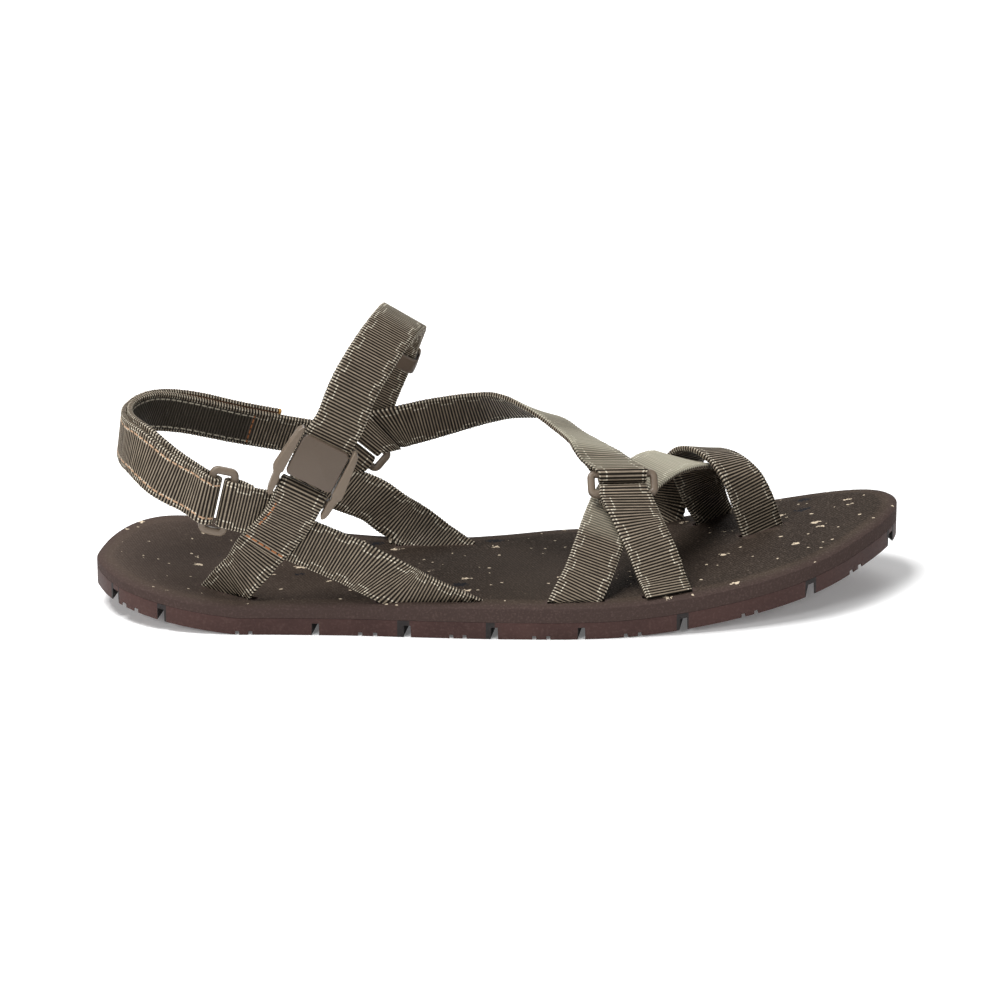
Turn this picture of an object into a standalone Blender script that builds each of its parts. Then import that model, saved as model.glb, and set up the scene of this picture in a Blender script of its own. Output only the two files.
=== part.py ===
"""Huarache sandal, right foot: webbing straps on a thin flexible sole.

Toe points along +X, the outer (lateral) side along -Y, +Z is up. The origin lies
on the floor under the middle of the sandal. All lengths are in metres.
"""

import math

import bmesh
import bpy
from mathutils import Vector

# Sole
SOLE_LENGTH = 0.272
SOLE_WIDTH = 0.094
OUTSOLE_THICK = 0.0055
FOOTBED_THICK = 0.0062
HEEL_THINNING = 0.0020
RIM_ROUNDING = 0.0012
HEEL_RISE = 0.0070
HEEL_CURVE = 1.2
TOE_SPRING = 0.0148
TOE_CURVE = 1.7
MEDIAL_RAISE = 0.0050
FLAT_BACK = -0.088
FLAT_FRONT = 0.030

# Tread
LUG_DEPTH = 0.0040
LUG_GROOVE = 0.0028
NOTCH_DEPTH = 0.0012
NOTCH_WIDTH = 0.0013
NOTCH_REACH = 0.0060
CHEVRON_ANGLE = 10.0
CHEVRON_SHIFT = 0.6
BEND_STEPS = 8
TREAD_REACH = 0.75

# Straps
WEBBING_WIDTH = 0.0160
WEBBING_THICK = 0.0017
STRAP_HEIGHT = 0.088
RISER_FOLD = 0.024
FLAP_END = 0.016
TAIL_SHARE = 0.84
TAB_FOLD = 0.007
FOLD_TAPER = 0.006
FOLD_STEPS = 6
SEW_DEPTH = 0.8
SAMPLE_STEP = 0.004
SLANT_LIMIT = 0.5
INSTEP_SLANT_LIMIT = 0.92
SLOT_BEND = 0.35
FOOT_REACH = 0.7

# Hardware
BAR_RADIUS = 0.0013
RING_PITCH = 0.0072
RING_SLACK = 0.0012
RING_CORNER = 1.2
PLATE_WIDTH = 0.0166
PLATE_LENGTH = 0.0146
PLATE_THICK = 0.0026
PLATE_ROUNDING = 0.0016
PLATE_PLAY = 0.0006
ARM_WIDTH = 0.0037
ARM_THICK = 0.0048
BAR_BEYOND = 0.0047
BAR_SINK = 0.6
BAR_END = 0.3
KEEPER_LENGTH = 0.0076
KEEPER_WALL = 0.0010

GAP = 0.0003
SLOT_GAP = 0.0004
SLOT_LIP = 0.0006

# Outline of the sole: shares of the length (along) and of the width (across).
OUTLINE = (
    # along, across
    (-0.5000, 0.010),
    (-0.4960, -0.070),
    (-0.4830, -0.165),
    (-0.4610, -0.255),
    (-0.4280, -0.328),
    (-0.3880, -0.375),
    (-0.3350, -0.402),
    (-0.2800, -0.410),
    (-0.1850, -0.430),
    (-0.0900, -0.464),
    (0.0000, -0.490),
    (0.0900, -0.500),
    (0.1850, -0.474),
    (0.2760, -0.415),
    (0.3500, -0.332),
    (0.4020, -0.228),
    (0.4420, -0.105),
    (0.4750, 0.020),
    (0.4940, 0.125),
    (0.5000, 0.225),
    (0.4930, 0.325),
    (0.4700, 0.408),
    (0.4350, 0.462),
    (0.3900, 0.492),
    (0.3350, 0.500),
    (0.2700, 0.476),
    (0.1850, 0.428),
    (0.0900, 0.368),
    (0.0100, 0.298),
    (-0.0500, 0.270),
    (-0.1100, 0.278),
    (-0.1850, 0.320),
    (-0.2780, 0.396),
    (-0.3500, 0.430),
    (-0.4050, 0.420),
    (-0.4430, 0.375),
    (-0.4710, 0.292),
    (-0.4900, 0.172),
)
OUTLINE_STEPS = 2

# Places of the tread's cuts, as shares of the length.
LUG_GROOVES = (-0.481, -0.416, -0.224, -0.111, -0.004, 0.102, 0.224, 0.373, 0.474)
EDGE_NOTCHES = (
    -0.464, -0.449, -0.326, -0.310, -0.177, -0.159, -0.067, -0.051,
    0.033, 0.050, 0.144, 0.161, 0.289, 0.305, 0.430, 0.442,
)

# Strap routes. along and across are shares of the sole's length and width, rise is
# a share of STRAP_HEIGHT above the footbed, or None where the strap enters a slot in
# the footbed. aim and dip are the heading and slope in degrees of the line across
# the webbing.
LATERAL_HEEL_ROUTE = (
    # along, across, rise, aim, dip
    (-0.3360, -0.268, None, -33, 0),
    (-0.3190, -0.305, 0.072, -42, -22),
    (-0.2920, -0.325, 0.190, -6, -32),
    (-0.2635, -0.334, 0.300, 0, -28),
)
LATERAL_ARCH_ROUTE = (
    (-0.0971, -0.416, None, -6, 0),
    (-0.1273, -0.416, 0.050, -3, 20),
    (-0.1609, -0.408, 0.103, 0, 42),
    (-0.1945, -0.388, 0.152, 0, 58),
)
TAB_ROUTE = (
    (-0.3020, -0.338, 0.325, 0, 76),
)
MEDIAL_HEEL_ROUTE = (
    (-0.2850, 0.285, None, 172, 0),
    (-0.2590, 0.318, 0.110, 176, 26),
    (-0.2270, 0.344, 0.225, 180, 36),
)
MEDIAL_ARCH_ROUTE = (
    (-0.0810, 0.200, None, 0, 0),
    (-0.1060, 0.240, 0.056, 0, 16),
    (-0.1331, 0.272, 0.102, 0, 36),
    (-0.1617, 0.290, 0.158, 0, 48),
)
HEEL_ROUTE = (
    (-0.3750, -0.300, 0.405, 0, 72),
    (-0.4110, -0.250, 0.468, 4, 66),
    (-0.4390, -0.165, 0.522, 4, 76),
    (-0.4555, -0.060, 0.536, 0, 84),
    (-0.4560, 0.055, 0.549, -12, 80),
    (-0.4340, 0.160, 0.560, -36, 66),
    (-0.3930, 0.252, 0.522, -54, 62),
    (-0.3250, 0.322, 0.452, -60, 60),
    (-0.2600, 0.362, 0.400, -60, 59),
    (-0.2230, 0.388, 0.370, -58, 60),
)
ANKLE_ROUTE = (
    (-0.1990, -0.332, 0.668, 0, -28),
    (-0.1815, -0.295, 0.791, 0, -29),
    (-0.1550, -0.200, 0.900, 0, -30),
    (-0.1315, -0.065, 0.955, 0, -31),
    (-0.1215, 0.060, 0.935, 0, -31),
    (-0.1250, 0.180, 0.850, 0, -30),
    (-0.1370, 0.280, 0.720, 0, -28),
    (-0.1530, 0.345, 0.580, 0, -28),
    (-0.1640, 0.380, 0.465, 0, -28),
)
INSTEP_ROUTE = (
    (-0.1400, 0.352, 0.420, 190, 50),
    (-0.1110, 0.343, 0.442, 214, 68),
    (-0.0770, 0.328, 0.472, 236, 68),
    (-0.0205, 0.295, 0.519, 246, 53),
    (0.0140, 0.238, 0.542, 243, 40),
    (0.0560, 0.150, 0.534, 230, 21),
    (0.0850, 0.060, 0.496, 222, 20),
    (0.1100, -0.047, 0.471, 205, 15),
    (0.1280, -0.101, 0.430, 186, 3),
)
FRONT_LEG_ROUTE = (
    (0.1950, -0.420, None, 10, 0),
    (0.1890, -0.374, 0.066, 8, 0),
    (0.1790, -0.326, 0.146, 5, 0),
    (0.1660, -0.262, 0.224, 2, -2),
)
TOE_BASE_ROUTE = (
    (0.0840, -0.452, None, 3, 0),
    (0.0990, -0.395, 0.078, -4, -12),
    (0.1150, -0.300, 0.170, -8, -18),
    (0.1290, -0.187, 0.240, -16, -18),
    (0.1465, -0.080, 0.298, -26, -18),
    (0.1700, -0.020, 0.336, -30, -18),
    (0.1960, 0.070, 0.357, -30, -16),
    (0.2235, 0.172, 0.340, -20, -12),
    (0.2450, 0.270, 0.276, 6, -4),
    (0.2620, 0.350, 0.140, 28, 2),
    (0.2740, 0.375, None, 40, 0),
)
TOE_LOOP_ROUTE = (
    (0.3270, 0.146, None, 26, 0),
    (0.3165, 0.155, 0.175, 26, 4),
    (0.3020, 0.178, 0.268, 34, 0),
    (0.2820, 0.235, 0.326, 42, -6),
    (0.2580, 0.298, 0.341, 44, -14),
    (0.2390, 0.360, 0.294, 36, -20),
    (0.2240, 0.400, 0.185, 26, -12),
    (0.2130, 0.412, 0.078, 16, -4),
    (0.2045, 0.385, None, 14, 0),
)

# Rings and buckle: middle as in the routes, headings and slopes in degrees of the
# bars and of the line that runs from the lower to the upper bar.
FRONT_RING = dict(along=0.1465, across=-0.142, rise=0.352, bar=(2, 0), pull=(98, 52))
MEDIAL_RING = dict(along=-0.1755, across=0.328, rise=0.374, bar=(180, 40), pull=(0, 50))
HEEL_RING = dict(along=-0.3460, across=-0.330, rise=0.365, bar=(180, -77), pull=(0, -13))
BUCKLE = dict(along=-0.2262, across=-0.340, rise=0.525, bar=(0, -27.5), pull=(3, 62.5))
KEEPER_SHARE = 0.765

# Joints where a strap is sewn behind another: the share of that strap's length, how
# far the joint lies off its middle line, and the slope of the line across the end.
SEWN_JOINTS = {
    # share, slide, dip
    "arch": (0.66, 0.002, 66),
    "tab": (0.76, -0.003, 74),
    "inner_arch": (0.69, -0.003, 54),
}

# The flap of the heel strap lies a little low at first and a little high at its end.
FLAP_SHIFT = (
    # share of the flap, shift
    (0.00, 0.0000),
    (0.16, -0.0016),
    (0.45, -0.0014),
    (0.75, 0.0007),
    (1.00, 0.0007),
)

# Where the ankle strap lies straight under the plate, as shares of the plate's length.
UNDER_PLATE = (-0.3, 0.4)

# One arm of the buckle: shares of the arm's width outward from its inner line, and of
# half the plate's length from the plate's middle.
ARM_OUTLINE = (
    # outward, along
    (0.00, 1.16),
    (0.25, 1.22),
    (0.56, 1.04),
    (0.76, 0.28),
    (0.98, -0.76),
    (1.00, -1.04),
    (0.70, -1.26),
    (0.58, -1.90),
    (0.30, -2.22),
    (0.00, -2.14),
)

# The footbed is full thickness in front and thins to the heel over this share of the
# length. Its inner edge is raised from the heel on, and the raise ends in front.
THINNING_REACH = 0.37
RAISE_FRONT = 0.18
RAISE_REACH = 0.30
RAISE_INSIDE = 0.08
RAISE_SPAN = 0.32

# Shares of the length and width where the footbed's raised inner edge is sliced.
ARCH_SLICES = (-0.26, -0.19, -0.12, -0.06, 0.0, 0.05)
MEDIAL_SLICES = (0.08, 0.18, 0.28)

COLOURS = {
    "rubber": (0.115, 0.035, 0.038, 1.0),
    "footbed": (0.050, 0.036, 0.032, 1.0),
    "webbing": (0.105, 0.088, 0.066, 1.0),
    "plastic": (0.120, 0.088, 0.066, 1.0),
}


def clear_scene():
    for obj in list(bpy.data.objects):
        bpy.data.objects.remove(obj, do_unlink=True)


def make_collection(name):
    collection = bpy.data.collections.new(name)
    bpy.context.scene.collection.children.link(collection)
    return collection


def make_material(name, roughness):
    material = bpy.data.materials.new(name)
    material.use_nodes = True
    shader = material.node_tree.nodes["Principled BSDF"]
    shader.inputs["Base Color"].default_value = COLOURS[name]
    shader.inputs["Roughness"].default_value = roughness
    shader.inputs["Metallic"].default_value = 0.0
    return material


def mesh_object(name, bm, collection, material=None):
    bmesh.ops.recalc_face_normals(bm, faces=bm.faces)
    mesh = bpy.data.meshes.new(name)
    bm.to_mesh(mesh)
    bm.free()
    obj = bpy.data.objects.new(name, mesh)
    collection.objects.link(obj)
    if material:
        mesh.materials.append(material)
    return obj


def baked_mesh(obj):
    bpy.context.view_layer.update()
    graph = bpy.context.evaluated_depsgraph_get()
    return bpy.data.meshes.new_from_object(obj.evaluated_get(graph))


def add_boolean(obj, other, operation):
    modifier = obj.modifiers.new(operation.title(), "BOOLEAN")
    modifier.operation = operation
    modifier.solver = "EXACT"
    modifier.object = other
    other.hide_render = True
    other.display_type = "WIRE"


def heading(aim, dip):
    a = math.radians(aim)
    d = math.radians(dip)
    return Vector((math.cos(a) * math.cos(d), math.sin(a) * math.cos(d), math.sin(d)))


def smooth(t):
    t = min(1.0, max(0.0, t))
    return t * t * (3.0 - 2.0 * t)


def through(points, steps, closed=False):
    """Points of a smooth curve through all the given vectors, steps to a span."""
    count = len(points)
    if isinstance(steps, int):
        steps = [steps] * count
    out = []
    for i in range(count if closed else count - 1):
        p1 = points[i]
        p2 = points[(i + 1) % count]
        p0 = points[i - 1] if closed or i > 0 else p1 * 2 - p2
        p3 = points[(i + 2) % count] if closed or i < count - 2 else p2 * 2 - p1
        for k in range(steps[i]):
            t = k / steps[i]
            a = (p2 - p0) * t
            b = (p0 * 2 - p1 * 5 + p2 * 4 - p3) * t * t
            c = (p1 * 3 - p0 - p2 * 3 + p3) * t ** 3
            out.append(p1 + (a + b + c) * 0.5)
    if not closed:
        out.append(points[-1].copy())
    return out


# Shape of the sole

def sole_lift(x):
    """Height of the sole's underside over the floor."""
    if x < FLAT_BACK:
        return HEEL_RISE * ((FLAT_BACK - x) / (SOLE_LENGTH / 2 + FLAT_BACK)) ** HEEL_CURVE
    if x > FLAT_FRONT:
        return TOE_SPRING * ((x - FLAT_FRONT) / (SOLE_LENGTH / 2 - FLAT_FRONT)) ** TOE_CURVE
    return 0.0


def footbed_thickness(x):
    return FOOTBED_THICK - HEEL_THINNING * smooth(-x / (THINNING_REACH * SOLE_LENGTH))


def medial_raise(x, y):
    """Extra height of the footbed towards its inner edge, from heel to arch."""
    along = smooth((RAISE_FRONT - x / SOLE_LENGTH) / RAISE_REACH)
    across = max(0.0, y / SOLE_WIDTH - RAISE_INSIDE) / RAISE_SPAN
    return MEDIAL_RAISE * along * across ** 2


def outsole_top(x):
    return sole_lift(x) + OUTSOLE_THICK


def footbed_bottom(x):
    return outsole_top(x) + GAP


def footbed_top(x, y):
    return footbed_bottom(x) + footbed_thickness(x) + medial_raise(x, y)


def sole_outline():
    points = [Vector((a * SOLE_LENGTH, c * SOLE_WIDTH, 0.0)) for a, c in OUTLINE]
    return through(points, OUTLINE_STEPS, closed=True)


def outline_at(x):
    """Lateral and medial edge of the outline at one place along the sole."""
    points = sole_outline()
    low, high = 0.0, 0.0
    for p, q in zip(points, points[1:] + points[:1]):
        if (p.x - x) * (q.x - x) <= 0.0 and p.x != q.x:
            y = p.y + (q.y - p.y) * (x - p.x) / (q.x - p.x)
            low = min(low, y)
            high = max(high, y)
    return low, high


def poly_curve(name, points, collection, cyclic=True):
    curve = bpy.data.curves.new(name, "CURVE")
    curve.dimensions = "3D"
    spline = curve.splines.new("POLY")
    spline.points.add(len(points) - 1)
    for point, p in zip(spline.points, points):
        point.co = (p.x, p.y, p.z, 1.0)
    spline.use_cyclic_u = cyclic
    guide = bpy.data.objects.new(name, curve)
    collection.objects.link(guide)
    return guide


def curve_bmesh(guide):
    """The curve's mesh with its caps welded. The curve itself is removed."""
    bm = bmesh.new()
    bm.from_mesh(baked_mesh(guide))
    bpy.data.objects.remove(guide, do_unlink=True)
    bmesh.ops.remove_doubles(bm, verts=bm.verts, dist=0.00001)
    return bm


def flat_plate(thickness, collection):
    """The sole's outline as an extruded flat curve, its two caps as single faces."""
    guide = poly_curve("outline", sole_outline(), collection)
    guide.data.dimensions = "2D"
    guide.data.fill_mode = "BOTH"
    guide.data.extrude = thickness / 2
    bm = curve_bmesh(guide)
    bmesh.ops.translate(bm, verts=bm.verts, vec=(0.0, 0.0, thickness / 2))
    merge_flat(bm)
    return bm


def merge_flat(bm):
    """Merges the triangles of each flat face into one face."""
    bmesh.ops.dissolve_limit(
        bm, angle_limit=math.radians(0.5), verts=bm.verts, edges=bm.edges, use_dissolve_boundaries=False)


def slice_mesh(bm, axis, places):
    for place in places:
        point = Vector((0.0, 0.0, 0.0))
        normal = Vector((0.0, 0.0, 0.0))
        point[axis] = place
        normal[axis] = 1.0
        everything = bm.verts[:] + bm.edges[:] + bm.faces[:]
        bmesh.ops.bisect_plane(bm, geom=everything, dist=0.00001, plane_co=point, plane_no=normal)


def bend_places():
    """Places along the sole where its curved ends need an edge across."""
    half = SOLE_LENGTH / 2
    back = [FLAT_BACK - (half + FLAT_BACK) * k / BEND_STEPS for k in range(BEND_STEPS)]
    front = [FLAT_FRONT + (half - FLAT_FRONT) * k / BEND_STEPS for k in range(BEND_STEPS)]
    return back + front


def add_box(bm, centre, size):
    made = bmesh.ops.create_cube(bm, size=1.0)["verts"]
    bmesh.ops.scale(bm, verts=made, vec=size)
    bmesh.ops.translate(bm, verts=made, vec=centre)


def bridge(bm, rings, closed=True):
    """Faces between rings of four corners, with a cap at each end."""
    made = [[bm.verts.new(corner) for corner in ring] for ring in rings]
    for a, b in zip(made, made[1:]):
        for k in range(4):
            bm.faces.new((a[k], a[(k + 1) % 4], b[(k + 1) % 4], b[k]))
    if closed:
        bm.faces.new(made[0])
        bm.faces.new(made[-1])
    return made


def tread_cutter(collection):
    """Chevron grooves across the whole tread, and short notches at its edges."""
    slope = math.tan(math.radians(CHEVRON_ANGLE))
    reach = SOLE_WIDTH * TREAD_REACH
    bm = bmesh.new()
    for share in LUG_GROOVES:
        edge = share * SOLE_LENGTH - reach * slope * CHEVRON_SHIFT
        rings = []
        for y, x in ((-reach, edge), (0.0, edge + reach * slope), (reach, edge)):
            left, right = x - LUG_GROOVE / 2, x + LUG_GROOVE / 2
            rings.append([
                (left, y, -LUG_DEPTH), (right, y, -LUG_DEPTH),
                (right, y, LUG_DEPTH), (left, y, LUG_DEPTH)])
        bridge(bm, rings)
    for share in EDGE_NOTCHES:
        x = share * SOLE_LENGTH
        for y in outline_at(x):
            add_box(bm, (x, y, 0.0), (NOTCH_WIDTH, NOTCH_REACH * 2, NOTCH_DEPTH * 2))
    return mesh_object("tread_cutter", bm, collection)


def make_outsole(parts, cutters, material):
    flat = mesh_object("outsole_flat", flat_plate(OUTSOLE_THICK, cutters), cutters)
    add_boolean(flat, tread_cutter(cutters), "DIFFERENCE")
    bm = bmesh.new()
    bm.from_mesh(baked_mesh(flat))
    bpy.data.objects.remove(flat, do_unlink=True)
    merge_flat(bm)
    slice_mesh(bm, 0, bend_places())
    for v in bm.verts:
        v.co.z += sole_lift(v.co.x)
    return mesh_object("outsole", bm, parts, material)


def make_footbed(parts, cutters, material, slots):
    bm = flat_plate(FOOTBED_THICK, cutters)
    middle = FOOTBED_THICK / 2
    rim = [
        e for e in bm.edges
        if all(v.co.z > middle for v in e.verts) and any(abs(f.normal.z) < 0.5 for f in e.link_faces)]
    bmesh.ops.bevel(bm, geom=rim, offset=RIM_ROUNDING, segments=2, profile=0.5, affect="EDGES")
    arch = [SOLE_LENGTH * share for share in ARCH_SLICES]
    slice_mesh(bm, 0, bend_places() + arch)
    slice_mesh(bm, 1, [SOLE_WIDTH * share for share in MEDIAL_SLICES])
    for v in bm.verts:
        x, y, z = v.co
        if z > middle:
            v.co.z = footbed_top(x, y) - (FOOTBED_THICK - z)
        else:
            v.co.z = footbed_bottom(x)
    footbed = mesh_object("footbed", bm, parts, material)
    for slot in slots:
        add_boolean(footbed, slot, "DIFFERENCE")
    return footbed


# Straps

class Path:
    """Middle line of a strap, with the direction across the webbing at each point.

    feet holds how many points at the start and at the end stand in a slot, and
    slant_limit limits how much wider the webbing gets where its edge runs aslant.
    """

    def __init__(self, points, across, feet=(0, 0), slant_limit=SLANT_LIMIT):
        self.points = points
        self.across = [a.normalized() for a in across]
        self.feet = feet
        self.slant_limit = slant_limit

    def length(self):
        return sum((q - p).length for p, q in zip(self.points, self.points[1:]))

    def tangent(self, index):
        a = self.points[max(0, index - 1)]
        b = self.points[min(len(self.points) - 1, index + 1)]
        return (b - a).normalized()

    def half_width(self, index, width):
        """Half of the webbing's width, longer where its edge line runs aslant."""
        last = len(self.points) - 1
        index = min(max(index, self.feet[0]), last - self.feet[1])
        if self.feet[0] == index and index > 0:
            tangent = (self.points[index + 1] - self.points[index]).normalized()
        elif self.feet[1] and index == last - self.feet[1]:
            tangent = (self.points[index - 1] - self.points[index]).normalized()
        else:
            tangent = self.tangent(index)
        across = self.across[index]
        square = (across - tangent * across.dot(tangent)).length
        return width / 2 / max(self.slant_limit, square)

    def at(self, distance):
        """Point, direction across, tangent and normal at a distance from the start."""
        done = 0.0
        last = len(self.points) - 2
        for i in range(last + 1):
            step = (self.points[i + 1] - self.points[i]).length
            if done + step >= distance or i == last:
                t = (distance - done) / step
                point = self.points[i].lerp(self.points[i + 1], t)
                across = self.across[i].lerp(self.across[i + 1], t).normalized()
                tangent = self.tangent(i).lerp(self.tangent(i + 1), t).normalized()
                return point, across, tangent, tangent.cross(across).normalized()
            done += step

    def layer(self, start, end, offset, shift=lambda t: 0.0):
        """A second layer along this one. offset and shift, along the normal and
        across the webbing, are functions of the share of the way from start to end."""
        count = max(2, round(abs(end - start) / SAMPLE_STEP))
        points, across = [], []
        for k in range(count + 1):
            t = k / count
            point, side, _, normal = self.at(start + (end - start) * t)
            points.append(point + normal * offset(t) + side * shift(t))
            across.append(side)
        return Path(points, across)

    def extended(self, *others):
        points, across = list(self.points), list(self.across)
        for other in others:
            points += other.points
            across += other.across
        return Path(points, across, self.feet, self.slant_limit)

    def reversed(self):
        return Path(self.points[::-1], self.across[::-1], self.feet[::-1], self.slant_limit)


def place(along, across, rise):
    """A point over the sole. With no rise it lies on the footbed."""
    x = along * SOLE_LENGTH
    y = across * SOLE_WIDTH
    if rise is None:
        return Vector((x, y, footbed_top(x, y)))
    plane = OUTSOLE_THICK + GAP + FOOTBED_THICK
    return Vector((x, y, plane + rise * STRAP_HEIGHT))


def slot_mouth(point):
    return footbed_top(point.x, point.y) + SLOT_LIP


def slot_floor(point):
    """The point straight below, just over the outsole, where a strap's end stands."""
    half = WEBBING_WIDTH * FOOT_REACH
    top = max(outsole_top(point.x - half), outsole_top(point.x + half))
    return Vector((point.x, point.y, top + 2 * GAP))


def route_path(route, before=(), after=(), slant_limit=SLANT_LIMIT):
    """Smooth path through a route. before and after add (point, direction across)
    pairs, such as the place where a strap reaches a ring's bar."""
    rows = list(before)
    for along, side, rise, aim, dip in route:
        point = place(along, side, rise)
        across = heading(aim, dip)
        if rise is None:
            point.z = max(slot_mouth(point + across * (WEBBING_WIDTH * s)) for s in (-0.5, 0.0, 0.5))
        rows.append((point, across))
    rows += list(after)
    points = [point for point, _ in rows]
    across = [side.normalized() for _, side in rows]
    steps = [max(1, round((q - p).length / SAMPLE_STEP)) for p, q in zip(points, points[1:])] + [1]
    points = through(points, steps)
    across = through(across, steps)
    feet = [0, 0]
    if route[0][2] is None:
        points.insert(0, slot_floor(points[0]))
        across.insert(0, across[0])
        feet[0] = 1
    if route[-1][2] is None:
        points.append(slot_floor(points[-1]))
        across.append(across[-1])
        feet[1] = 1
    return Path(points, across, tuple(feet), slant_limit)


def ribbon_bmesh(path, width, thick):
    rings = []
    for i, (point, across) in enumerate(zip(path.points, path.across)):
        side = across * path.half_width(i, width)
        normal = path.tangent(i).cross(across).normalized() * (thick / 2)
        rings.append((
            point - side - normal, point + side - normal,
            point + side + normal, point - side + normal))
    bm = bmesh.new()
    bridge(bm, rings)
    return bm


def ribbon(name, path, collection, material=None):
    return mesh_object(name, ribbon_bmesh(path, WEBBING_WIDTH, WEBBING_THICK), collection, material)


def slot_cutter(name, path, collection):
    """A wider and thicker copy of a strap's foot, long enough to pass the footbed."""
    floor, mouth = path.points[0], path.points[1]
    side = path.across[1]
    lead = path.points[2] - mouth
    upward = Vector((0.0, 0.0, FOOTBED_THICK))
    level = mouth + lead * (FOOTBED_THICK / max(lead.z, FOOTBED_THICK / 2))
    high = mouth.lerp(level, SLOT_BEND) + upward / 2
    cut = Path([floor - upward, mouth, high], [side] * 3)
    half = path.half_width(1, WEBBING_WIDTH) + SLOT_GAP
    thick = WEBBING_THICK / 2 + SLOT_GAP
    rings = []
    for i, point in enumerate(cut.points):
        normal = Vector((0.0, 0.0, 1.0)).cross(side).normalized() * thick
        rings.append((
            point - side * half - normal, point + side * half - normal,
            point + side * half + normal, point - side * half + normal))
    bm = bmesh.new()
    bridge(bm, rings)
    return mesh_object(name, bm, collection)


def tuck(path, joint, inward):
    """A place half sunk in a strap's inner face, where another strap is sewn on."""
    share, slide, dip = SEWN_JOINTS[joint]
    point, across, _, normal = path.at(path.length() * share)
    if normal.y * inward < 0:
        normal = -normal
    return point + normal * (WEBBING_THICK * SEW_DEPTH) + across * slide, heading(0, dip)


def flap_shift(share):
    """Shift of the heel strap's flap across the webbing at a share of its length."""
    for (a, low), (b, high) in zip(FLAP_SHIFT, FLAP_SHIFT[1:]):
        if share <= b:
            return low + (high - low) * smooth((share - a) / (b - a))
    return FLAP_SHIFT[-1][1]


def joined(name, paths, parts, cutters, material):
    """One solid from several straps that are sewn together."""
    obj = ribbon(name, paths[0], parts, material)
    for k, path in enumerate(paths[1:]):
        add_boolean(obj, ribbon(f"{name}_joint_{k}", path, cutters), "UNION")
    return obj


# Rings and buckle

class Loop:
    """A rectangular loop: its middle, the line of its bars, and the line between them."""

    def __init__(self, along, across, rise, bar, pull):
        self.middle = place(along, across, rise)
        self.bar = heading(*bar)
        raw = heading(*pull)
        self.pull = (raw - self.bar * raw.dot(self.bar)).normalized()
        self.out = self.bar.cross(self.pull).normalized()

    def world(self, u, v, w):
        return self.middle + self.bar * u + self.pull * v + self.out * w

    def bar_middle(self, side):
        return self.world(0.0, side * RING_PITCH / 2, 0.0)


def fold_radius():
    return BAR_RADIUS + GAP + WEBBING_THICK / 2


def reach(loop, bar, sign, face=1):
    """Where a strap reaches a bar, on its outer or inner face."""
    return bar + loop.out * (face * fold_radius()), loop.bar * sign


def fold(path, loop, bar, side, sign, length, face=1, shift=lambda t: 0.0):
    """The path with its turn round a bar and a second layer that runs back along it."""
    radius = fold_radius()
    points = []
    for k in range(1, FOLD_STEPS):
        turn = math.pi * k / FOLD_STEPS
        step = loop.out * (face * math.cos(turn)) - loop.pull * (side * math.sin(turn))
        points.append(bar + step * radius)
    turned = Path(points, [loop.bar * sign] * len(points))
    total = path.length()
    outward = path.at(total)[3].dot(loop.out) * face
    near = (WEBBING_THICK + GAP) * math.copysign(1.0, -outward)
    back = path.layer(total, total - length, lambda t: 0.0, shift)
    for k, point in enumerate(back.points):
        distance = length * k / (len(back.points) - 1)
        normal = path.at(total - distance)[3]
        done = smooth((distance - BAR_RADIUS) / FOLD_TAPER)
        point += (loop.out * (-2 * face * radius)).lerp(normal * near, done)
    return path.extended(turned, back)


def ring(name, loop, collection, material):
    """A bent bar: a closed curve with rounded corners and a round section."""
    half = WEBBING_WIDTH / 2 + RING_SLACK + BAR_RADIUS
    corner = BAR_RADIUS * RING_CORNER
    points = []
    for quarter, (u, v) in enumerate(((1, 1), (-1, 1), (-1, -1), (1, -1))):
        for k in range(4):
            turn = math.radians(90 * quarter + 30 * k)
            x = u * (half - corner) + corner * math.cos(turn)
            y = v * (RING_PITCH / 2 - corner) + corner * math.sin(turn)
            points.append(loop.world(x, y, 0.0))
    guide = poly_curve(name + "_guide", points, collection)
    guide.data.bevel_depth = BAR_RADIUS
    guide.data.bevel_resolution = 2
    obj = mesh_object(name, curve_bmesh(guide), collection, material)
    obj.data.shade_smooth()
    return obj


def block(loop, outline, low, high):
    """A flat outline in a loop's own directions, raised from low to high."""
    bm = bmesh.new()
    face = bm.faces.new([bm.verts.new((u, v, low)) for u, v in outline])
    made = bmesh.ops.extrude_face_region(bm, geom=[face])["geom"]
    top = [item for item in made if isinstance(item, bmesh.types.BMVert)]
    bmesh.ops.translate(bm, verts=top, vec=(0.0, 0.0, high - low))
    for vert in bm.verts:
        vert.co = loop.world(*vert.co)
    return bm


def plate_outline():
    """A rectangle with rounded corners."""
    u, v = PLATE_WIDTH / 2 - PLATE_ROUNDING, PLATE_LENGTH / 2 - PLATE_ROUNDING
    points = []
    for quarter, (a, b) in enumerate(((1, 1), (-1, 1), (-1, -1), (1, -1))):
        for k in range(4):
            turn = math.radians(90 * quarter + 30 * k)
            x, y = a * u + PLATE_ROUNDING * math.cos(turn), b * v + PLATE_ROUNDING * math.sin(turn)
            points.append((x, y))
    return points


def arm_outline(side):
    inner = PLATE_WIDTH / 2 + PLATE_PLAY
    return [(side * (inner + a * ARM_WIDTH), b * PLATE_LENGTH / 2) for a, b in ARM_OUTLINE]


def plate_bottom():
    """Height of the plate's underside over the inner webbing layer's middle."""
    return WEBBING_THICK * 1.5 + 2 * GAP


def arm_top():
    return plate_bottom() + PLATE_THICK + GAP


def buckle_bar(loop):
    """Middle of the cross bar that the lateral heel strap turns round. It lies low
    enough to clear the plate and still sinks into both arms."""
    level = arm_top() - ARM_THICK + BAR_RADIUS * BAR_SINK
    return loop.world(0.0, -(PLATE_LENGTH / 2 + BAR_BEYOND), level)


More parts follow.
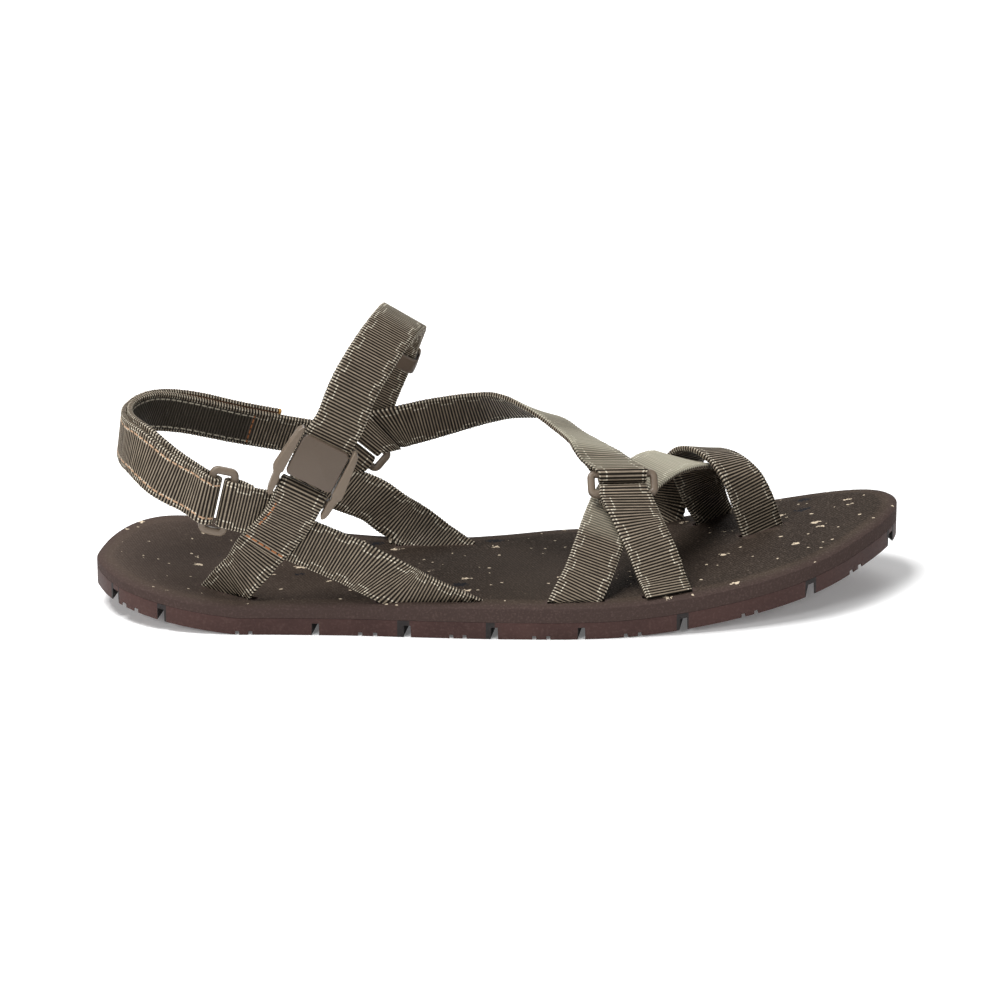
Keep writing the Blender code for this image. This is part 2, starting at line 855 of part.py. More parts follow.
def make_buckle(loop, parts, cutters, material):
    low = plate_bottom()
    mesh_object("buckle_plate", block(loop, plate_outline(), low, low + PLATE_THICK), parts, material)
    top = arm_top()
    left = block(loop, arm_outline(-1), top - ARM_THICK, top)
    frame = mesh_object("buckle_frame", left, parts, material)
    right = block(loop, arm_outline(1), top - ARM_THICK, top)
    add_boolean(frame, mesh_object("buckle_arm", right, cutters), "UNION")
    length = PLATE_WIDTH + 2 * PLATE_PLAY + 2 * BAR_END * ARM_WIDTH
    bm = bmesh.new()
    bmesh.ops.create_cone(
        bm, cap_ends=True, segments=12, radius1=BAR_RADIUS, radius2=BAR_RADIUS, depth=length)
    bar = buckle_bar(loop)
    for vert in bm.verts:
        x, y, z = vert.co
        vert.co = bar + loop.bar * z + loop.pull * x + loop.out * y
    add_boolean(frame, mesh_object("buckle_cross_bar", bm, cutters), "UNION")


def make_keeper(path, distance, parts, material):
    """A flat sleeve that holds the ankle strap's two layers together."""
    point, across, tangent, normal = path.at(distance)
    if normal.y < 0:
        normal = -normal
    half_width = WEBBING_WIDTH / 2 + 2 * GAP
    half_height = WEBBING_THICK + GAP / 2 + 2 * GAP
    middle = point + normal * ((WEBBING_THICK + GAP) / 2)
    rings = []
    for side, wall in ((-1, 0), (-1, KEEPER_WALL), (1, KEEPER_WALL), (1, 0)):
        u, w = half_width + wall, half_height + wall
        centre = middle + tangent * (side * KEEPER_LENGTH / 2)
        rings.append([
            centre + across * (a * u) + normal * (b * w)
            for a, b in ((-1, -1), (1, -1), (1, 1), (-1, 1))])
    bm = bmesh.new()
    made = bridge(bm, rings, closed=False)
    for k in range(4):
        n = (k + 1) % 4
        bm.faces.new((made[-1][k], made[-1][n], made[0][n], made[0][k]))
    return mesh_object("keeper", bm, parts, material)


def main():
    clear_scene()
    parts = make_collection("huarache_sandal")
    cutters = make_collection("cutters")
    rubber = make_material("rubber", 0.45)
    bed = make_material("footbed", 0.85)
    webbing = make_material("webbing", 0.80)
    plastic = make_material("plastic", 0.45)

    front = Loop(**FRONT_RING)
    medial = Loop(**MEDIAL_RING)
    heel = Loop(**HEEL_RING)
    buckle = Loop(**BUCKLE)

    # Lateral side: the heel riser round the buckle's bar, the arch leg and the tab
    bar = buckle_bar(buckle)
    riser = route_path(LATERAL_HEEL_ROUTE, after=[reach(buckle, bar, 1, face=-1)])
    arch = route_path(LATERAL_ARCH_ROUTE, after=[tuck(riser, "arch", 1)])
    tab_bar = heel.bar_middle(1)
    tab = route_path(
        TAB_ROUTE, before=[tuck(riser, "tab", 1)], after=[reach(heel, tab_bar, -1)])
    tab_folded = fold(tab, heel, tab_bar, 1, -1, TAB_FOLD)
    riser_folded = fold(riser, buckle, bar, -1, 1, RISER_FOLD, face=-1)
    joined("lateral_strap", [riser_folded, arch, tab_folded], parts, cutters, webbing)

    # Medial side: the heel riser round the medial ring, and the arch leg
    low_bar = medial.bar_middle(-1)
    inner = route_path(MEDIAL_HEEL_ROUTE, after=[reach(medial, low_bar, 1)])
    inner_arch = route_path(MEDIAL_ARCH_ROUTE, after=[tuck(inner, "inner_arch", -1)])
    inner_folded = fold(inner, medial, low_bar, -1, 1, TAB_FOLD)
    joined("medial_strap", [inner_folded, inner_arch], parts, cutters, webbing)

    # Heel strap: inner layer, turn round the heel ring, and the flap outside it
    heel_bar = heel.bar_middle(-1)
    back = route_path(HEEL_ROUTE, before=[reach(heel, heel_bar, -1, face=-1)]).reversed()
    flap = back.length() - FLAP_END
    heel_strap = fold(back, heel, heel_bar, -1, -1, flap, face=-1, shift=flap_shift)
    ribbon("heel_strap", heel_strap, parts, webbing)

    # Ankle strap: inner layer up from the medial side, turn under the plate, tail
    under = [(buckle.world(0.0, share * PLATE_LENGTH, 0.0), buckle.bar) for share in UNDER_PLATE]
    ankle = route_path(ANKLE_ROUTE, before=under).reversed()
    turn = (WEBBING_THICK + GAP) / 2
    lower = buckle.world(0.0, UNDER_PLATE[0] * PLATE_LENGTH, turn)
    bend = []
    for k in range(1, FOLD_STEPS):
        angle = math.pi * k / FOLD_STEPS
        bend.append(lower - buckle.out * (turn * math.cos(angle)) - buckle.pull * (turn * math.sin(angle)))
    total = ankle.length()
    outside = 1 if ankle.at(total)[3].dot(buckle.out) > 0 else -1
    tail = ankle.layer(total, total * (1 - TAIL_SHARE), lambda t: outside * 2 * turn)
    strap = ankle.extended(Path(bend, [buckle.bar] * len(bend)), tail)
    ribbon("ankle_strap", strap, parts, webbing)
    make_keeper(ankle, total * (1 - KEEPER_SHARE), parts, plastic)

    # Instep strap between the medial ring and the front ring
    top_bar = medial.bar_middle(1)
    front_bar = front.bar_middle(1)
    instep = route_path(
        INSTEP_ROUTE, before=[reach(medial, top_bar, 1)],
        after=[reach(front, front_bar, -1)], slant_limit=INSTEP_SLANT_LIMIT)
    instep = fold(instep, front, front_bar, 1, -1, TAB_FOLD)
    instep = fold(instep.reversed(), medial, top_bar, 1, 1, TAB_FOLD)
    ribbon("instep_strap", instep, parts, webbing)

    # Forefoot: the leg up to the front ring, the toe base strap and the toe loop
    low_front = front.bar_middle(-1)
    leg = route_path(FRONT_LEG_ROUTE, after=[reach(front, low_front, 1)])
    ribbon("front_leg_strap", fold(leg, front, low_front, -1, 1, TAB_FOLD), parts, webbing)
    base = route_path(TOE_BASE_ROUTE)
    ribbon("toe_base_strap", base, parts, webbing)
    toe = route_path(TOE_LOOP_ROUTE)
    ribbon("toe_loop", toe, parts, webbing)

    ring("front_ring", front, parts, plastic)
    ring("medial_ring", medial, parts, plastic)
    ring("heel_ring", heel, parts, plastic)
    make_buckle(buckle, parts, cutters, plastic)

    feet = {
        "lateral_heel": riser,
        "lateral_arch": arch,
        "medial_heel": inner,
        "medial_arch": inner_arch,
        "front_leg": leg,
        "toe_base_lateral": base,
        "toe_base_medial": base.reversed(),
        "toe_loop": toe,
        "toe_loop_medial": toe.reversed(),
    }
    slots = [slot_cutter("slot_" + name, path, cutters) for name, path in feet.items()]
    make_outsole(parts, cutters, rubber)
    make_footbed(parts, cutters, bed, slots)


main()
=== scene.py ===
# %% [markdown]
# # A huarache sandal in ribbed webbing
# The sandal stands on a pale floor: a thin rubber outsole, a canvas-grained footbed
# with cork flecks, and straps of ribbed webbing that run through three rings and an
# ankle buckle. The solids come packed from the CAD step. This lesson dresses them.

# %% Load the frame
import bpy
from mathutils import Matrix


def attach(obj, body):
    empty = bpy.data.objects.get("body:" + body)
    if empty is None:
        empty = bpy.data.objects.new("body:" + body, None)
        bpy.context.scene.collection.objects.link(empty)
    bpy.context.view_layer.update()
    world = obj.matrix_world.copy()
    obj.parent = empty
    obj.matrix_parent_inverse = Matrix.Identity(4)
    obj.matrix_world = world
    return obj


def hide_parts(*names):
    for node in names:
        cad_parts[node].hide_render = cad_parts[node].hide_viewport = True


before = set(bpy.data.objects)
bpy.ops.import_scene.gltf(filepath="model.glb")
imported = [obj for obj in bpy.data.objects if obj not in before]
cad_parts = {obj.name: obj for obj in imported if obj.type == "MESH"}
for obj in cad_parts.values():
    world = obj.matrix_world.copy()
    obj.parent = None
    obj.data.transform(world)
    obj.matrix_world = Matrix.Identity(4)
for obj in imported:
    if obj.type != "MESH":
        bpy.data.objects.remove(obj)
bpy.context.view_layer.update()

# %% Tools from Blender
import math
import random

import bmesh
import bpy
from mathutils import Vector

MM = 0.001
scene = bpy.context.scene

# %% [markdown]
# ## Camera, light and floor
# The photo is a catalogue picture taken from far away with a long lens, a little above
# the sandal and almost square to its outer side. A white floor and large soft lights
# keep the shadows short. The standard view transform keeps the floor plain white.

# %% Camera
CAMERA_ELEVATION = math.radians(17.5)
CAMERA_YAW = math.radians(2.2)
CAMERA_DISTANCE = 1.5
PIXEL_SIZE = 0.335 * MM
IMAGE_SIZE = 1000
SENSOR = 36.0
TARGET = Vector((-0.0007, -0.0046, 0.035))

back = Vector((
    -math.sin(CAMERA_YAW) * math.cos(CAMERA_ELEVATION),
    -math.cos(CAMERA_YAW) * math.cos(CAMERA_ELEVATION),
    math.sin(CAMERA_ELEVATION)))
lens = bpy.data.cameras.new("camera")
lens.sensor_width = SENSOR
lens.lens = SENSOR * CAMERA_DISTANCE / (PIXEL_SIZE * IMAGE_SIZE)
lens.clip_start = 0.05
camera = bpy.data.objects.new("camera", lens)
scene.collection.objects.link(camera)
camera.location = TARGET + back * CAMERA_DISTANCE
camera.rotation_euler = (-back).to_track_quat("-Z", "Y").to_euler()
scene.camera = camera
scene.view_settings.view_transform = "Standard"
print("lens", round(lens.lens, 1), "mm")


# %% Lights
def soft_light(name, place, size, watts):
    """A square area light that looks at the sandal."""
    data = bpy.data.lights.new(name, "AREA")
    data.size = size
    data.energy = watts
    lamp = bpy.data.objects.new(name, data)
    scene.collection.objects.link(lamp)
    lamp.location = place
    lamp.rotation_euler = (TARGET - Vector(place)).to_track_quat("-Z", "Y").to_euler()


LIGHTS = (
    # name, place, side and power
    ("top_light", (-0.45, 0.02, 1.22), 0.7, 23.0),
    ("front_light", (-0.90, -1.20, 0.70), 0.4, 10.5),
    ("right_light", (0.80, -1.20, 0.75), 0.5, 5.0),
    ("back_light", (0.25, 1.25, 0.90), 0.8, 8.0),
)
SKY_STRENGTH = 0.15

for row in LIGHTS:
    soft_light(*row)
world = bpy.data.worlds.new("studio")
world.use_nodes = True
sky = world.node_tree.nodes["Background"].inputs
sky["Color"].default_value = (1.0, 1.0, 1.0, 1.0)
sky["Strength"].default_value = SKY_STRENGTH
scene.world = world
print("lights", len(LIGHTS))

# %% [markdown]
# ## Shader sums as Python expressions
# Weave, flecks and dust are sums over the surface. A small class wraps a node socket,
# so that a sum can be written as an expression, and each operator adds its Math node.


# %% The Shade and Finish classes
class Shade:
    """One value on a surface. Arithmetic on it adds Math nodes to its material."""

    def __init__(self, tree, socket):
        self.tree = tree
        self.socket = socket

    def math(self, operation, *values, clamp=False):
        node = self.tree.nodes.new("ShaderNodeMath")
        node.operation = operation
        node.use_clamp = clamp
        for slot, value in zip(node.inputs, values):
            if isinstance(value, Shade):
                self.tree.links.new(value.socket, slot)
            else:
                slot.default_value = value
        return Shade(self.tree, node.outputs[0])

    def __add__(self, other):
        return self.math("ADD", self, other)

    def __sub__(self, other):
        return self.math("SUBTRACT", self, other)

    def __rsub__(self, other):
        return self.math("SUBTRACT", other, self)

    def __mul__(self, other):
        return self.math("MULTIPLY", self, other)

    def __pow__(self, other):
        return self.math("POWER", self, other)

    __radd__ = __add__
    __rmul__ = __mul__

    def fract(self):
        return self.math("FRACT", self)

    def abs(self):
        return self.math("ABSOLUTE", self)

    def sin(self):
        return self.math("SINE", self)

    def above(self, level):
        return self.math("GREATER_THAN", self, level)

    def most(self, other):
        return self.math("MAXIMUM", self, other)

    def rise(self, low, high):
        """0 below low, 1 above high, and a straight line between."""
        return self.math("MULTIPLY", self - low, 1.0 / (high - low), clamp=True)

    def band(self, half, soft):
        """1 where the value is within half of zero, soft at both sides."""
        return 1.0 - self.abs().rise(half, half + soft)


class Finish:
    """A material and the nodes that vary over it."""

    def __init__(self, name, colour=(0.8, 0.8, 0.8), roughness=0.8):
        self.material = bpy.data.materials.new(name)
        self.material.use_nodes = True
        self.tree = self.material.node_tree
        self.shader = self.tree.nodes["Principled BSDF"]
        self.set("Base Color", (*colour, 1.0))
        self.set("Roughness", roughness)

    def set(self, socket, value):
        if isinstance(value, Shade):
            self.tree.links.new(value.socket, self.shader.inputs[socket])
        else:
            self.shader.inputs[socket].default_value = value

    def node(self, kind, settings=None, inputs=None, output=0):
        """Any node: its settings first, then the values or links of its sockets."""
        node = self.tree.nodes.new(kind)
        for key, value in (settings or {}).items():
            setattr(node, key, value)
        for key, value in (inputs or {}).items():
            if isinstance(value, Shade):
                self.tree.links.new(value.socket, node.inputs[key])
            else:
                node.inputs[key].default_value = value
        return Shade(self.tree, node.outputs[output])

    def place(self):
        return self.node("ShaderNodeTexCoord", output="Object")

    def parts(self, vector):
        """The X, Y and Z of a vector."""
        return [self.node("ShaderNodeSeparateXYZ", None, {0: vector}, k) for k in range(3)]

    def vector(self, x=0.0, y=0.0, z=0.0):
        return self.node("ShaderNodeCombineXYZ", None, {0: x, 1: y, 2: z})

    def noise(self, where, scale, detail=2.0, roughness=0.5):
        return self.node(
            "ShaderNodeTexNoise", None,
            {"Vector": where, "Scale": scale, "Detail": detail, "Roughness": roughness})

    def mix(self, share, first, second):
        """A colour between two colours."""
        def colour(value):
            return value if isinstance(value, Shade) else (*value, 1.0)
        return self.node(
            "ShaderNodeMix", {"data_type": "RGBA"}, {0: share, 6: colour(first), 7: colour(second)}, 2)

    def bump(self, height, distance, strength=1.0):
        self.set("Normal", self.node(
            "ShaderNodeBump", None,
            {"Height": height, "Distance": distance, "Strength": strength}))


# %% Floor
FLOOR_REACH = 6.0
FLOOR_GLOW = 0.12


def new_object(name, bm):
    """The bmesh as a new object at the origin."""
    mesh = bpy.data.meshes.new(name)
    bm.to_mesh(mesh)
    bm.free()
    obj = bpy.data.objects.new(name, mesh)
    scene.collection.objects.link(obj)
    return obj


bm = bmesh.new()
bmesh.ops.create_grid(bm, x_segments=1, y_segments=1, size=FLOOR_REACH)
floor = new_object("floor", bm)
paper = Finish("floor_paper", (0.93, 0.93, 0.93), 0.9)
paper.set("Emission Color", (1.0, 1.0, 1.0, 1.0))
paper.set("Emission Strength", FLOOR_GLOW)
floor.data.materials.append(paper.material)
print("floor", 2 * FLOOR_REACH, "m wide")

# %% [markdown]
# ## Measures of the sandal
# The soft pieces are rebuilt along the same lines as the CAD solids, so the sizes of
# the sole, the webbing and the rings are repeated here from the CAD, in metres.

# %% Sizes
SOLE_LENGTH = 0.272
SOLE_WIDTH = 0.094
OUTSOLE_THICK = 0.0055
FOOTBED_THICK = 0.0062
HEEL_THINNING = 0.0020
HEEL_RISE = 0.0070
HEEL_CURVE = 1.2
TOE_SPRING = 0.0148
TOE_CURVE = 1.7
MEDIAL_RAISE = 0.0050
FLAT_BACK = -0.088
FLAT_FRONT = 0.030
GAP = 0.0003
SLOT_GAP = 0.0004
SLOT_LIP = 0.0006
WEBBING_WIDTH = 0.0160
WEBBING_THICK = 0.0017
STRAP_HEIGHT = 0.088
BAR_RADIUS = 0.0013
RING_PITCH = 0.0072
RING_SLACK = 0.0012
PLATE_WIDTH = 0.0166
PLATE_LENGTH = 0.0146
PLATE_THICK = 0.0026
PLATE_ROUNDING = 0.0016
PLATE_PLAY = 0.0006
ARM_WIDTH = 0.0037
ARM_THICK = 0.0048
BAR_BEYOND = 0.0047
KEEPER_LENGTH = 0.0076
KEEPER_WALL = 0.0010
FOLD_TAPER = 0.006
RISER_TAPER = 0.016
FOLD_STEPS = 14
SEW_DEPTH = 0.8
SAMPLE_STEP = 0.001


# %% Height of the sole
def smooth(t):
    t = min(1.0, max(0.0, t))
    return t * t * (3.0 - 2.0 * t)


def sole_lift(x):
    """Height of the sole's underside over the floor: heel rise and toe spring."""
    if x < FLAT_BACK:
        return HEEL_RISE * ((FLAT_BACK - x) / (SOLE_LENGTH / 2 + FLAT_BACK)) ** HEEL_CURVE
    if x > FLAT_FRONT:
        return TOE_SPRING * ((x - FLAT_FRONT) / (SOLE_LENGTH / 2 - FLAT_FRONT)) ** TOE_CURVE
    return 0.0


def outsole_top(x):
    return sole_lift(x) + OUTSOLE_THICK


def footbed_top(x, y):
    thick = FOOTBED_THICK - HEEL_THINNING * smooth(-x / (0.37 * SOLE_LENGTH))
    along = smooth((0.18 - x / SOLE_LENGTH) / 0.30)
    across = max(0.0, y / SOLE_WIDTH - 0.08) / 0.32
    return outsole_top(x) + GAP + thick + MEDIAL_RAISE * along * across ** 2


# %% [markdown]
# ## Helpers for pieces
# A finished piece keeps its object at the origin, rides on the one body of the row
# and may stand for a CAD node. Most soft pieces here are a flat grid that is rolled
# up: `create_grid` gives the faces and their UVs, and a function says where each
# point of the grid goes in space. This is quicker than extruding hundreds of rings.


# %% Finishing and rolling
def dress(obj, finish, slot, node=None, smooth_angle=40.0):
    """Gives an object its shading and finish, its body, and the node it replaces. slot is not used."""
    mesh = obj.data
    mesh.shade_smooth()
    mesh.set_sharp_from_angle(angle=math.radians(smooth_angle))
    mesh.materials.append(finish.material)
    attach(obj, "root")
    if node:
        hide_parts(node)
    print(obj.name, len(mesh.polygons), "faces")
    return obj


def finish_piece(name, bm, *look):
    return dress(new_object(name, bm), *look)


def rolled_grid(around, stations, spot, ends="caps"):
    """A grid rolled into a tube. spot(i, j) gives the place and the UV of grid point i
    around and j along, and for webbing its face, 1 or -1, and how far it looks up.
    ends is caps, or loop where the last ring meets the first."""
    bm = bmesh.new()
    bmesh.ops.create_grid(bm, x_segments=around, y_segments=stations, size=1.0)
    layer = bm.loops.layers.uv.new("weave")
    layers = [bm.verts.layers.float.new(label) for label in ("level", "upward")]
    spots = {}
    for vert in bm.verts:
        i = round((vert.co.x + 1.0) / 2.0 * around)
        j = round((vert.co.y + 1.0) / 2.0 * stations)
        spots[vert] = spot(i, j)
    for face in bm.faces:
        for loop in face.loops:
            loop[layer].uv = spots[loop.vert][1]
    for vert, made in spots.items():
        vert.co = made[0]
        for extra, value in zip(layers, made[2:]):
            vert[extra] = value
    bmesh.ops.remove_doubles(bm, verts=bm.verts, dist=0.000002)
    if ends == "caps":
        rim = [edge for edge in bm.edges if edge.is_boundary]
        bmesh.ops.holes_fill(bm, edges=rim, sides=0)
    bmesh.ops.recalc_face_normals(bm, faces=bm.faces)
    return bm


# %% [markdown]
# ## Straps as paths
# A strap is a strip, so it is described by its middle line and, at each point, by the
# direction across the webbing. Each route is a short table of given stations.
# A smooth curve runs through them. Where a strap turns round a bar, the path makes a
# half circle and comes back as a second layer.


# %% Curves and headings
def heading(aim, dip):
    a = math.radians(aim)
    d = math.radians(dip)
    return Vector((math.cos(a) * math.cos(d), math.sin(a) * math.cos(d), math.sin(d)))


def through(points, steps, closed=False):
    """Points of a smooth curve through all the given vectors, steps to a span."""
    count = len(points)
    if isinstance(steps, int):
        steps = [steps] * count
    out = []
    for i in range(count if closed else count - 1):
        p1 = points[i]
        p2 = points[(i + 1) % count]
        p0 = points[i - 1] if closed or i > 0 else p1 * 2 - p2
        p3 = points[(i + 2) % count] if closed or i < count - 2 else p2 * 2 - p1
        for k in range(steps[i]):
            t = k / steps[i]
            a = (p2 - p0) * t
            b = (p0 * 2 - p1 * 5 + p2 * 4 - p3) * t * t
            c = (p1 * 3 - p0 - p2 * 3 + p3) * t ** 3
            out.append(p1 + (a + b + c) * 0.5)
    if not closed:
        out.append(points[-1].copy())
    return out


class Path:
    """Middle line of a strap, with the direction across the webbing at each point."""

    def __init__(self, points, across, feet=(0, 0), skew=0.5):
        self.points = points
        self.across = [a.normalized() for a in across]
        self.feet = feet
        self.skew = skew

    def length(self):
        return sum((q - p).length for p, q in zip(self.points, self.points[1:]))

    def tangent(self, index):
        a = self.points[max(0, index - 1)]
        b = self.points[min(len(self.points) - 1, index + 1)]
        return (b - a).normalized()

    def half_width(self, index):
        """Half of the webbing's width, longer where its edge line runs aslant."""
        last = len(self.points) - 1
        index = min(max(index, self.feet[0]), last - self.feet[1])
        if self.feet[0] == index and index > 0:
            tangent = (self.points[index + 1] - self.points[index]).normalized()
        elif self.feet[1] and index == last - self.feet[1]:
            tangent = (self.points[index - 1] - self.points[index]).normalized()
        else:
            tangent = self.tangent(index)
        across = self.across[index]
        square = (across - tangent * across.dot(tangent)).length
        return WEBBING_WIDTH / 2 / max(self.skew, square)

    def at(self, distance):
        """Point, direction across, tangent, normal and half width at a distance."""
        done = 0.0
        last = len(self.points) - 2
        for i in range(last + 1):
            step = (self.points[i + 1] - self.points[i]).length
            if done + step >= distance or i == last:
                t = (distance - done) / max(step, 1e-9)
                point = self.points[i].lerp(self.points[i + 1], t)
                across = self.across[i].lerp(self.across[i + 1], t).normalized()
                tangent = self.tangent(i).lerp(self.tangent(i + 1), t).normalized()
                half = self.half_width(i) * (1 - t) + self.half_width(i + 1) * t
                return point, across, tangent, tangent.cross(across).normalized(), half
            done += step

    def layer(self, start, end, offset=0.0, shift=lambda t: 0.0):
        """A second layer along this one, offset along the normal."""
        count = max(2, round(abs(end - start) / SAMPLE_STEP))
        points, across = [], []
        for k in range(count + 1):
            t = k / count
            point, side, _, normal, _ = self.at(start + (end - start) * t)
            points.append(point + normal * offset + side * shift(t))
            across.append(side)
        return Path(points, across)

    def extended(self, *others):
        points, across = list(self.points), list(self.across)
        for other in others:
            points += other.points
            across += other.across
        return Path(points, across, self.feet, self.skew)

    def reversed(self):
        return Path(self.points[::-1], self.across[::-1], self.feet[::-1], self.skew)


# %% From routes to paths
def place_over_sole(along, across, rise):
    """A point over the sole from shares of its length, width and the strap height."""
    x = along * SOLE_LENGTH
    y = across * SOLE_WIDTH
    if rise is None:
        return Vector((x, y, footbed_top(x, y)))
    return Vector((x, y, OUTSOLE_THICK + GAP + FOOTBED_THICK + rise * STRAP_HEIGHT))


def slot_floor(point):
    """The point straight below, just over the outsole, where a strap's end stands."""
    half = WEBBING_WIDTH * 0.7
    top = max(outsole_top(point.x - half), outsole_top(point.x + half))
    return Vector((point.x, point.y, top + 2 * GAP))


def route_path(route, before=(), after=(), skew=0.5):
    rows = list(before)
    for along, side, rise, aim, dip in route:
        point = place_over_sole(along, side, rise)
        across = heading(aim, dip)
        if rise is None:
            corners = [point + across * (WEBBING_WIDTH * s) for s in (-0.5, 0.0, 0.5)]
            point.z = max(footbed_top(c.x, c.y) for c in corners) + SLOT_LIP
        rows.append((point, across))
    rows += list(after)
    points = [point for point, _ in rows]
    across = [side.normalized() for _, side in rows]
    steps = [max(1, round((q - p).length / SAMPLE_STEP)) for p, q in zip(points, points[1:])]
    points = through(points, steps + [1])
    across = through(across, steps + [1])
    feet = [0, 0]
    if route[0][2] is None:
        points.insert(0, slot_floor(points[0]))
        across.insert(0, across[0])
        feet[0] = 1
    if route[-1][2] is None:
        points.append(slot_floor(points[-1]))
        across.append(across[-1])
        feet[1] = 1
    return Path(points, across, tuple(feet), skew)


# %% Rings, folds and sewn joints
class Loop:
    """A rectangular loop: its middle, the line of its bars, and the line between them."""

    def __init__(self, along, across, rise, bar, pull):
        self.middle = place_over_sole(along, across, rise)
        self.bar = heading(*bar)
        raw = heading(*pull)
        self.pull = (raw - self.bar * raw.dot(self.bar)).normalized()
        self.out = self.bar.cross(self.pull).normalized()

    def world(self, u, v, w):
        return self.middle + self.bar * u + self.pull * v + self.out * w

    def bar_middle(self, side):
        return self.world(0.0, side * RING_PITCH / 2, 0.0)


FOLD_RADIUS = BAR_RADIUS + GAP + WEBBING_THICK / 2


def reach(loop, bar, sign, face=1):
    """Where a strap reaches a bar, on its outer or inner face."""
    return bar + loop.out * (face * FOLD_RADIUS), loop.bar * sign


def fold(path, loop, bar, side, sign, length, face=1, shift=lambda t: 0.0, taper=FOLD_TAPER):
    """The path with its turn round a bar and a second layer that runs back along it."""
    points = []
    for k in range(1, FOLD_STEPS):
        turn = math.pi * k / FOLD_STEPS
        step = loop.out * (face * math.cos(turn)) - loop.pull * (side * math.sin(turn))
        points.append(bar + step * FOLD_RADIUS)
    turned = Path(points, [loop.bar * sign] * len(points))
    total = path.length()
    outward = path.at(total)[3].dot(loop.out) * face
    near = (WEBBING_THICK + GAP) * math.copysign(1.0, -outward)
    rest = path.layer(total, total - length, 0.0, shift)
    for k, point in enumerate(rest.points):
        distance = length * k / (len(rest.points) - 1)
        normal = path.at(total - distance)[3]
        done = smooth((distance - BAR_RADIUS) / taper)
        point += (loop.out * (-2 * face * FOLD_RADIUS)).lerp(normal * near, done)
    return path.extended(turned, rest)


def tuck(path, share, inward, slide, side):
    """A place half sunk in a strap's inner face, where another strap is sewn on."""
    point, across, _, normal, _ = path.at(path.length() * share)
    if normal.y * inward < 0:
        normal = -normal
    return point + normal * (WEBBING_THICK * SEW_DEPTH) + across * slide, side


# %% [markdown]
# ## Ribbed webbing
# The real webbing is a grosgrain: thick ribs run across it about a millimetre apart,
# and pale threads show near both edges as a stepping dotted line. The ribs make the
# saw-toothed outline of the straps in the photo, so they are modelled. The colour of
# the threads, which lies on the crests, is painted by the shader from the UVs, which
# hold the distance along and across the strap in millimetres. Sewn rows, tapes and ochre
# ends are thin, so they are painted too, as extra layers of the straps that have them.
# Straps that look up get a paler colour there as a painted sheen: two vertex layers say
# which face of the webbing a point is on and how far it looks up.

# %% Webbing finish
RIB_PITCH = 1.05 * MM
RIB_HEIGHT = 0.17 * MM
RIB_STATIONS = 5
THREAD_STEP = 9.5
THREAD_INSET = 1.35
THREAD_JUMP = 1.25
LINK_INSET = 1.98
RIM_INSET = 0.30
YARN_TWIST = 0.42
STITCH_PITCH = 2.5
CREST = (0.320, 0.256, 0.186)
# Nearly black: painted shade in the valleys between the ribs.
VALLEY_SHADE = (0.008, 0.006, 0.004)
PALE_THREAD = (0.66, 0.60, 0.48)
RUST_THREAD = (0.30, 0.115, 0.045)
OCHRE_TAPE = (0.42, 0.22, 0.06)
LOOP_TAPE = (0.020, 0.017, 0.012)
HOOK_TAPE = (0.085, 0.042, 0.022)
# Pale tone of the painted sheen on webbing that looks up.
PAINTED_SHEEN = (0.42, 0.40, 0.31)


def stitches(run, off):
    """A dashed row that goes along run where off is zero, both in millimetres."""
    dash = ((run * (1.0 / STITCH_PITCH)).fract() - 0.5).band(0.32, 0.08)
    return dash * off.band(0.20, 0.12)


def webbing_finish(name, extras=None, top_sheen=0.0):
    """Ribbed webbing. extras gives more layers, each a share and a colour. The last
    argument is how far the parts that look up are paled, as a painted sheen."""
    web = Finish(name, roughness=0.8)
    along, across, _ = web.parts(web.node("ShaderNodeUVMap", {"uv_map": "weave"}))
    in_ribs = along * (1.0 / (RIB_PITCH / MM))
    rib = in_ribs.fract()
    crest = (rib * math.pi).sin()
    edge = WEBBING_WIDTH / 2 / MM - across.abs()
    phase = (along * (1.0 / THREAD_STEP) + across.above(0.0) * 0.37).fract()
    step = phase.above(0.5)
    inner = (edge - THREAD_INSET - step * THREAD_JUMP).band(0.17, 0.12)
    link = (phase - 0.5).band(0.025, 0.03).most((phase - 1.0).band(0.025, 0.03))
    link = link * (edge - LINK_INSET).band(0.66, 0.1) * 0.6
    rim = (edge - RIM_INSET).band(0.16, 0.14) * 0.6
    on_crest = crest.rise(0.70, 0.92)
    spot = web.vector(along, across * 0.25, 0.0)
    wear = web.noise(spot, 0.8, 3.0)
    streak = web.noise(web.vector(in_ribs, across * 0.12, 0.0), 1.4, 1.0)
    thread = inner.most(link).most(rim) * on_crest * wear.rise(0.30, 0.5)
    twist = ((across * (1.0 / YARN_TWIST) + along * 0.9) * (2.0 * math.pi)).sin() * 0.5 + 0.5
    # Painted light and shade: crests are painted bright and valleys nearly black, varied by the yarn's
    # twist and by random wear and streaks.
    light = crest ** 5.0 * (twist * 0.25 + 0.75) * (wear * 0.6 + 0.55) * (streak + 0.55)
    colour = web.mix(thread, web.mix(light, VALLEY_SHADE, CREST), PALE_THREAD)
    # Painted sheen: webbing that looks up is mixed toward a pale tone, standing in for the light it
    # catches.
    if top_sheen:
        upward = web.node("ShaderNodeAttribute", {"attribute_name": "upward"}, output="Fac")
        colour = web.mix(upward.rise(0.78, 1.0) * top_sheen, colour, PAINTED_SHEEN)
    if extras:
        level = web.node("ShaderNodeAttribute", {"attribute_name": "level"}, output="Fac")
        for share, tint in extras(along, across, edge, level):
            colour = web.mix(share, colour, tint)
    web.set("Base Color", colour)
    web.set("Specular IOR Level", 0.12)
    web.set("Coat Weight", light * 0.55)
    web.set("Coat Roughness", 0.45)
    web.bump(twist * crest + thread * 0.6, 0.09 * MM, 0.8)
    return web


webbing = webbing_finish("olive_webbing")
